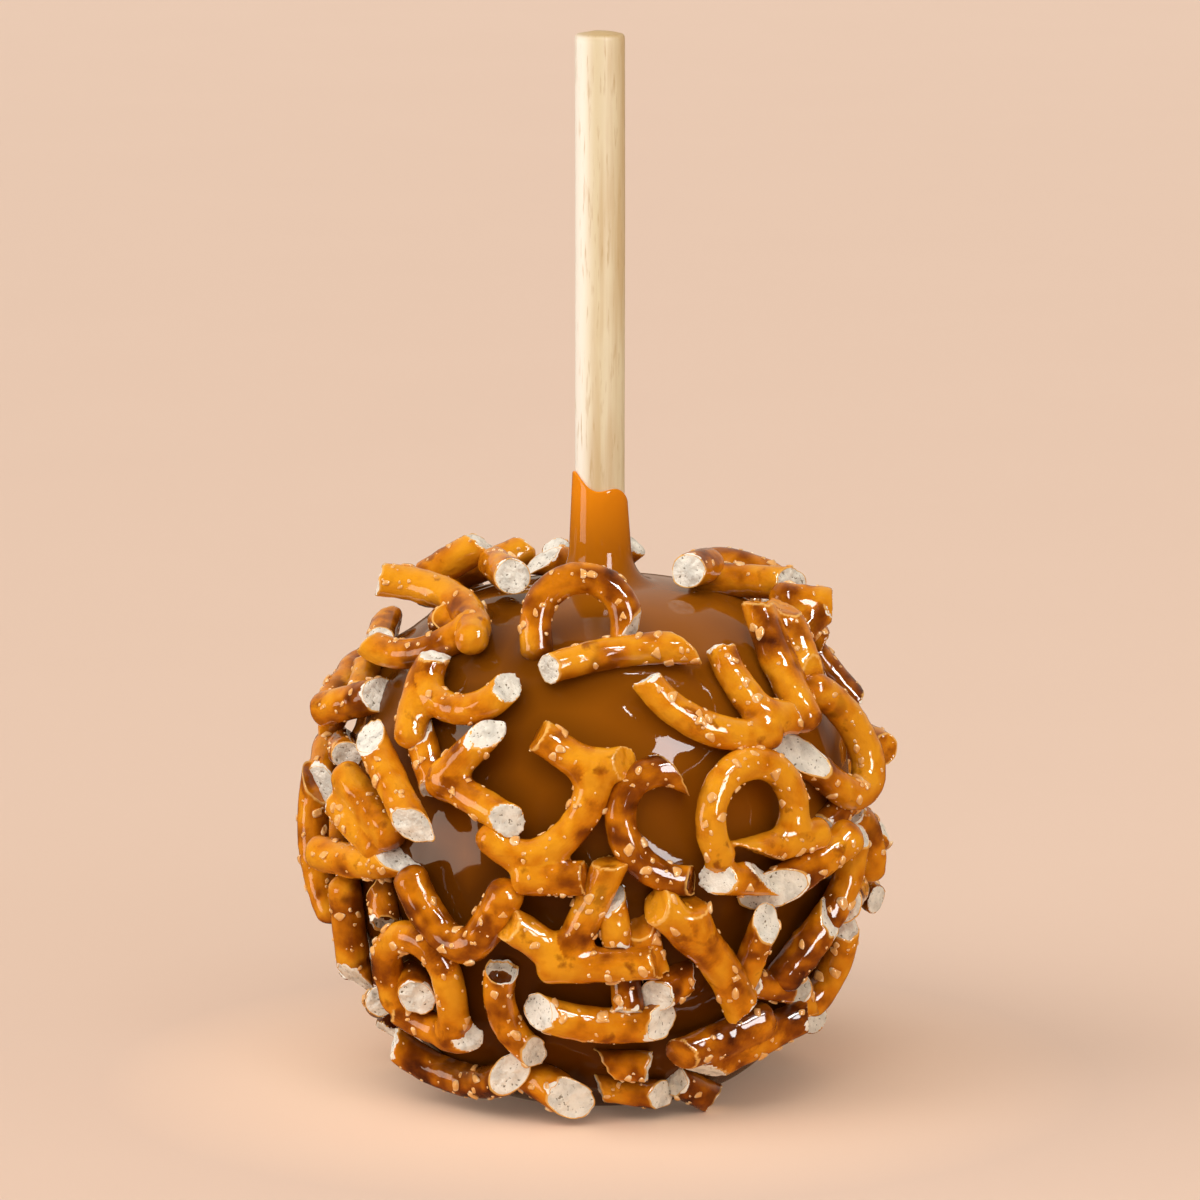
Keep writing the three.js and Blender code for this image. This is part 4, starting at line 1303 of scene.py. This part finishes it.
def caramel_profile():
    """Radius and height of the caramel's outline, from its base to the collar's rim and down the bore."""
    base = [(radius, 0) for radius in np.linspace(LEAST_RADIUS, float(apple_radius(0)), BASE_RINGS)]
    rise = WIDEST_HEIGHT * (1 - np.cos(steps_to(np.pi / 2, BELLY_RINGS)))
    belly = [(float(apple_radius(height)), height) for height in rise]
    across = COLLAR_FOOT + (APPLE_RADIUS - COLLAR_FOOT) * np.cos(steps_to(np.pi / 2, SHOULDER_RINGS))
    shoulder = [(radius, float(shoulder_height(radius))) for radius in across]
    foot = np.array(shoulder[-1])
    bend = np.array((COLLAR_FLARE, CROWN_HEIGHT))
    neck = np.array((COLLAR_RADIUS + COLLAR_SWELL, COLLAR_START))
    share = steps_to(1, FLARE_RINGS)[:, None]
    flare = (1 - share) ** 2 * foot + 2 * share * (1 - share) * bend + share ** 2 * neck
    share = steps_to(1, COLLAR_RINGS)[:, None]
    collar = neck + share * (np.array((COLLAR_RADIUS, COLLAR_TOP)) - neck)
    turn = steps_to(np.pi, LIP_RINGS)
    lip = (COLLAR_RADIUS - BORE_RADIUS) / 2
    rim = np.stack([COLLAR_RADIUS - lip + lip * np.cos(turn), COLLAR_TOP + lip * np.sin(turn)], -1)
    bore = [(BORE_RADIUS, height) for height in BORE_HEIGHTS]
    return np.concatenate([base, belly, shoulder, flare, collar, rim, bore])


def collar_wave(azimuth):
    """How much higher the collar's rim runs at an azimuth."""
    return sum(size * np.cos(count * (azimuth - math.radians(peak))) for size, count, peak in COLLAR_WAVES)


def caramel_points():
    """Rings of points of the plain caramel, with its collar's uneven rim."""
    profile = caramel_profile()
    points, azimuth = turned_rings(profile, CARAMEL_SIDES)
    outside = (profile[:, :1] > BORE_RADIUS) | (profile[:, 1:] > CROWN_HEIGHT)
    share = (points[..., 2] - COLLAR_START) / (COLLAR_TOP - COLLAR_START)
    points[..., 2] += np.clip(share, 0, RIM_RISE) * outside * collar_wave(azimuth)
    return points


def ring_normals(points):
    """Ways out of a grid of rings that closes round."""
    along = np.gradient(points, axis=0)
    across = np.roll(points, -1, 1) - np.roll(points, 1, 1)
    normal = np.cross(across, along)
    return normal / np.maximum(1e-9, np.linalg.norm(normal, axis=-1, keepdims=True))


def held_lines():
    """Middle lines of all strands, in the apple's frame, with their radii."""
    lines, radii = [], []
    for strand in (*pretzel_strands(), *stub_strands()):
        line = moved(strand.middle_line(CREEP_STEP), strand.place)
        lines.append(line)
        radii.append(np.full(len(line), strand.radius))
    return np.concatenate(lines), np.concatenate(radii)


def make_caramel():
    """The caramel, creeping up the strands that it holds, where it is a thin film, and where it is thick
    and in painted shade.
    """
    points = caramel_points()
    normal = ring_normals(points)
    lines, radii = held_lines()
    tree = kdtree.KDTree(len(lines))
    for i, point in enumerate(lines):
        tree.insert(point, i)
    tree.balance()
    found = [tree.find(point) for point in points.reshape(-1, 3)]
    gap = np.array([distance - radii[i] for _, i, distance in found]).reshape(points.shape[:2])
    gap = np.maximum(0, gap)
    creep = CREEP_HEIGHT * np.maximum(0, 1 - gap / CREEP_REACH) ** 2
    wave = WAVE_HEIGHT * layers(points, WAVE_LUMPS)
    height = points[..., 2]
    free = np.clip(height / BASE_EASE, 0, 1) * np.clip((CROWN_HEIGHT - height) / CROWN_EASE, 0, 1)
    free[np.hypot(points[..., 0], points[..., 1]) < BORE_RADIUS + BORE_SLACK] = 0
    points = points + normal * ((creep + wave) * free)[..., None]
    points[..., 2] = np.maximum(points[..., 2], 0)
    thin = np.clip((height - CROWN_HEIGHT) / (COLLAR_TOP - CROWN_HEIGHT), 0, 1)
    # Painted shade: darker near the strands, strongest on the left, where the pieces cast shadow, and low
    # down, where less light reaches; partly it stands for thicker caramel
    near = np.clip(1 - gap / THICK_SHADE_REACH, 0, 1)
    low = np.clip((THICK_SHADE_BELOW - height) / THICK_SHADE_DEPTH, 0, 1)
    left = np.clip(0.5 - points[..., 0] / THICK_SHADE_WIDTH, THICK_SHADE_LEAST, 1)
    thick = np.clip(near * np.maximum(left, low) + THICK_SHADE_LOW * low, 0, 1)
    return points, thin, thick


# Salt

def grain_kinds(draw, count, cuts, squash, splits):
    """Kinds of grain, about one across: points and how near the rim each is, and the triangles of all."""
    bpy.ops.mesh.primitive_ico_sphere_add(subdivisions=splits, radius=0.5)
    ball = bpy.context.object
    mesh = ball.data
    points = np.array([vertex.co for vertex in mesh.vertices])
    tris = np.array([tuple(face.vertices) for face in mesh.polygons])
    bpy.data.objects.remove(ball)
    bpy.data.meshes.remove(mesh)
    reach = np.minimum(1, 2 * np.hypot(points[:, 0], points[:, 1]))
    level = np.sign(points[:, 2]) * np.sqrt(1 - reach ** GRAIN_FULLNESS) / 2
    kinds = []
    for kind in range(count):
        form = points * (1 + layers(apart(points, kind), GRAIN_LUMPS))[:, None]
        form[:, 2] = level
        for _ in range(cuts):
            way = np.array((draw(), draw(), CUT_TILT * draw()))
            way /= np.linalg.norm(way)
            over = np.maximum(0, form @ way - around(draw, *CUT_REACH))
            form = form - over[:, None] * way
        form = form * (1, around(draw, *GRAIN_WIDTH), squash * around(draw, *GRAIN_HEIGHT))
        reach = np.hypot(form[:, 0], form[:, 1])
        # Rim share: where a grain is painted paler, partly as painted light
        kinds.append((form, np.clip(2 * reach / reach.max() - 1, 0, 1)))
    return kinds, tris


def add_grain(shell, kind, tris, spot, out, size, turn):
    """Adds a grain lying on a surface."""
    form, rim = kind
    across = np.cross(out, (math.cos(turn), math.sin(turn), SALT_SKEW))
    across /= np.linalg.norm(across)
    basis = np.stack([across, np.cross(out, across), out])
    points = form * size @ basis + spot
    shell.add(points, np.zeros((0, 4), int), tris, np.zeros(0), np.zeros(len(tris)), rim=rim)


def make_salt(shell):
    """Salt on the outer sides of the strands."""
    style = looks().salt
    draw = make_draw(BACK_SEED + 3)
    grains = (style.size / MM, style.spacing / MM, *grain_kinds(draw, **GRAIN_FORM))
    dust = (style.dust / MM, style.dust_spacing / MM, *grain_kinds(draw, **DUST_FORM))
    for strand in (*pretzel_strands(), *stub_strands()):
        rings, out, _ = strand_rings(strand)
        for common, spacing, kinds, tris in (grains, dust):
            for _ in range(round(around(draw, *SALTINESS) * strand.length / spacing)):
                ring = int(around(draw, *SALT_ALONG) * len(rings))
                point = int(around(draw, *SALT_ROUND) * RING_POINTS) % RING_POINTS
                way = strand.place[:3, :3] @ out[ring, point]
                size = common * around(draw, *SALT_SIZE)
                spot = moved(rings[ring, point], strand.place) + way * SALT_LIFT * size
                kind = kinds[int((draw() + 1) / 2 * len(kinds)) % len(kinds)]
                if spot[2] > size:
                    add_grain(shell, kind, tris, spot, way, size, math.pi * draw())


# Stick

def stick_profile(radius, edge, foot, top):
    """Radius and height of the dowel's outline, from its foot to the tip of its domed end."""
    base = [(STICK_TIP, foot), (radius - STICK_TIP, foot)]
    wall = [(radius, height) for height in np.linspace(foot, top - 2 * edge, STICK_RINGS)]
    turn = steps_to(np.pi / 2, STICK_EDGE_RINGS)
    shoulder = top - (1 + STICK_DOME) * edge
    corner = np.stack([radius - edge + edge * np.cos(turn), shoulder + edge * np.sin(turn)], -1)
    across = np.linspace(radius - edge, STICK_TIP, STICK_DOME_RINGS + 1)[1:]
    dome = np.stack([across, top - STICK_DOME * edge * (across / (radius - edge)) ** 2], -1)
    return np.concatenate([base, wall, corner, dome])


def make_stick(foot, top):
    """Rings of the dowel, where painted light makes its wood pale on the left, and where it is sawn."""
    style = looks().stick
    radius, edge = style.diameter / MM / 2, style.edge / MM
    profile = stick_profile(radius, edge, foot, top)
    rings, _ = turned_rings(profile, STICK_SIDES)
    height = rings[..., 2].copy()
    end = height > top - SAWN_FROM * edge
    rough = (layers(rings, SAWN_LUMPS) - SAWN_SINK) * end
    uneven = np.where(profile[:, :1] > STICK_WALL * radius, layers(rings * WOOD_STRETCH, WOOD_LUMPS), 0)
    rings[..., :2] *= (1 + uneven / radius)[..., None]
    rings[..., 2] += rough
    # Painted light: paler toward the left, where the side light falls, with lumps along the grain
    sap = layers(rings * PAINTED_LIGHT_STRETCH, PAINTED_LIGHT_LUMPS) - PAINTED_LIGHT_LESS - PAINTED_LIGHT_SLOPE * rings[..., 0] / radius
    sawn = (height - top) / edge + 1 + STICK_DOME
    return rings, np.clip(sap, 0, 1), np.clip(sawn, 0, 1)


# Stage

def aim(thing, spot, target):
    """Puts a light or camera at a spot, looking at a target."""
    thing.location = spot
    thing.rotation_euler = (Vector(target) - Vector(spot)).to_track_quat("-Z", "Y").to_euler()


def spot_round(target, azimuth, elevation, distance):
    """A spot round a target, by azimuth to the right of the front and elevation."""
    turn, rise = math.radians(azimuth), math.radians(elevation)
    way = Vector((math.sin(turn) * math.cos(rise), -math.cos(turn) * math.cos(rise), math.sin(rise)))
    return Vector(target) + way * distance


def add_light(name, shape, azimuth, elevation, distance, colour, size):
    """A light that looks at the apple, a soft box only in reflections and any other hidden from them."""
    light = bpy.data.lights.new(name, SUN if shape == SUN else "AREA")
    light.energy = getattr(looks().stage, name)
    light.color = colour
    if shape == SUN:
        light.angle = math.radians(size)
    else:
        light.shape = shape
        light.size, light.size_y = size
    lamp = bpy.data.objects.new(name, light)
    bpy.context.scene.collection.objects.link(lamp)
    aim(lamp, spot_round(LIGHT_TARGET, azimuth, elevation, distance), LIGHT_TARGET)
    lamp.visible_diffuse = shape != SOFT_BOX
    lamp.visible_glossy = shape == SOFT_BOX


def add_camera():
    """The camera in front of the apple."""
    scene = bpy.context.scene
    camera = bpy.data.objects.new("camera", bpy.data.cameras.new("camera"))
    scene.collection.objects.link(camera)
    camera.data.lens = LENS
    camera.data.sensor_width = SENSOR_WIDTH
    aim(camera, spot_round(CAMERA_TARGET, 0, CAMERA_ELEVATION, CAMERA_DISTANCE), CAMERA_TARGET)
    scene.camera = camera


# Operators and panel

class APPLE_OT_pretzels(Operator):
    """Makes each pretzel piece over its node"""

    bl_idname = "apple.pretzels"
    bl_label = "Pretzel pieces"

    def execute(self, context):
        pretzel_strands.cache_clear()
        pieces = {}
        for strand in pretzel_strands():
            pieces.setdefault(strand.node, []).append(strand)
        for node, strands in pieces.items():
            shell = Shell()
            for strand in strands:
                add_strand(shell, strand, [other for other in strands if other is not strand])
            if len(strands) > 1:
                shell = fuse(shell, strands)
            shell.to_piece(f"{node}_baked", (crust_finish(), crumb_finish()), (node,), "pretzel_crust")
        return {"FINISHED"}


class APPLE_OT_stubs(Operator):
    """Makes the short stubs between the pieces"""

    bl_idname = "apple.stubs"
    bl_label = "Pretzel stubs"

    def execute(self, context):
        stub_strands.cache_clear()
        shell = Shell()
        for strand in stub_strands():
            add_strand(shell, strand, ())
        materials = (crust_finish(), crumb_finish())
        shell.to_piece("pretzel_stubs", materials, ("caramel_apple",), "pretzel_crust")
        return {"FINISHED"}


class APPLE_OT_caramel(Operator):
    """Makes the caramel that coats the apple and the foot of the stick"""

    bl_idname = "apple.caramel"
    bl_label = "Caramel"

    def execute(self, context):
        shell = Shell()
        rings, thin, thick = make_caramel()
        # thick holds the caramel's painted shade as well as its thickness
        add_lathe(shell, rings, thin=thin, thick=thick)
        shell.to_piece("caramel_coat", (caramel_finish(),), ("caramel_apple",), "caramel")
        return {"FINISHED"}


class APPLE_OT_salt(Operator):
    """Makes the salt on the pretzel pieces"""

    bl_idname = "apple.salt"
    bl_label = "Salt"

    def execute(self, context):
        shell = Shell()
        make_salt(shell)
        shell.to_piece("salt_grains", (salt_finish(),))
        return {"FINISHED"}


class APPLE_OT_stick(Operator):
    """Makes the wooden stick with its sawn end"""

    bl_idname = "apple.stick"
    bl_label = "Stick"

    def execute(self, context):
        low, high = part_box("stick")
        shell = Shell()
        rings, sap, sawn = make_stick(low.z / MM, high.z / MM)
        add_lathe(shell, rings, sap=sap, sawn=sawn)
        shell.to_piece("stick_dowel", (wood_finish(),), ("stick",), "birch_wood")
        return {"FINISHED"}


class APPLE_OT_stage(Operator):
    """Makes the floor, the lights and the camera"""

    bl_idname = "apple.stage"
    bl_label = "Stage"

    def execute(self, context):
        bpy.ops.mesh.primitive_circle_add(vertices=FLOOR_SIDES, radius=FLOOR_RADIUS, fill_type="NGON")
        floor = context.object
        floor.name = "floor"
        floor.data.materials.append(floor_finish())
        floor.visible_glossy = False
        for name, settings in LIGHTS.items():
            add_light(name, *settings)
        context.scene.world = surround_finish()
        context.scene.view_settings.view_transform = "Standard"
        add_camera()
        return {"FINISHED"}


class APPLE_PT_panel(Panel):
    """Lists what the caramel apple is made of"""

    bl_label = "Caramel Apple"
    bl_idname = "APPLE_PT_panel"
    bl_space_type = "VIEW_3D"
    bl_region_type = "UI"
    bl_category = "Caramel Apple"

    def draw(self, context):
        settings = looks()
        for group in ("pretzel", "caramel", "salt", "stick", "stage"):
            box = self.layout.box()
            box.label(text=group.capitalize())
            part = getattr(settings, group)
            for name in part.__annotations__:
                box.prop(part, name)
        for operator in OPERATORS:
            self.layout.operator(operator.bl_idname)


GROUPS = (CaramelSettings, PretzelSettings, SaltSettings, StickSettings, StageSettings, AppleSettings)
OPERATORS = (
    APPLE_OT_pretzels, APPLE_OT_stubs, APPLE_OT_caramel, APPLE_OT_salt, APPLE_OT_stick, APPLE_OT_stage)


def register():
    for made in (*GROUPS, *OPERATORS, APPLE_PT_panel):
        bpy.utils.register_class(made)
    bpy.types.Scene.caramel_apple = PointerProperty(type=AppleSettings)


def unregister():
    del bpy.types.Scene.caramel_apple
    for made in reversed((*GROUPS, *OPERATORS, APPLE_PT_panel)):
        bpy.utils.unregister_class(made)


def main():
    register()
    bpy.ops.apple.pretzels()
    bpy.ops.apple.stubs()
    bpy.ops.apple.caramel()
    bpy.ops.apple.salt()
    bpy.ops.apple.stick()
    bpy.ops.apple.stage()


if __name__ == "__main__":
    main()
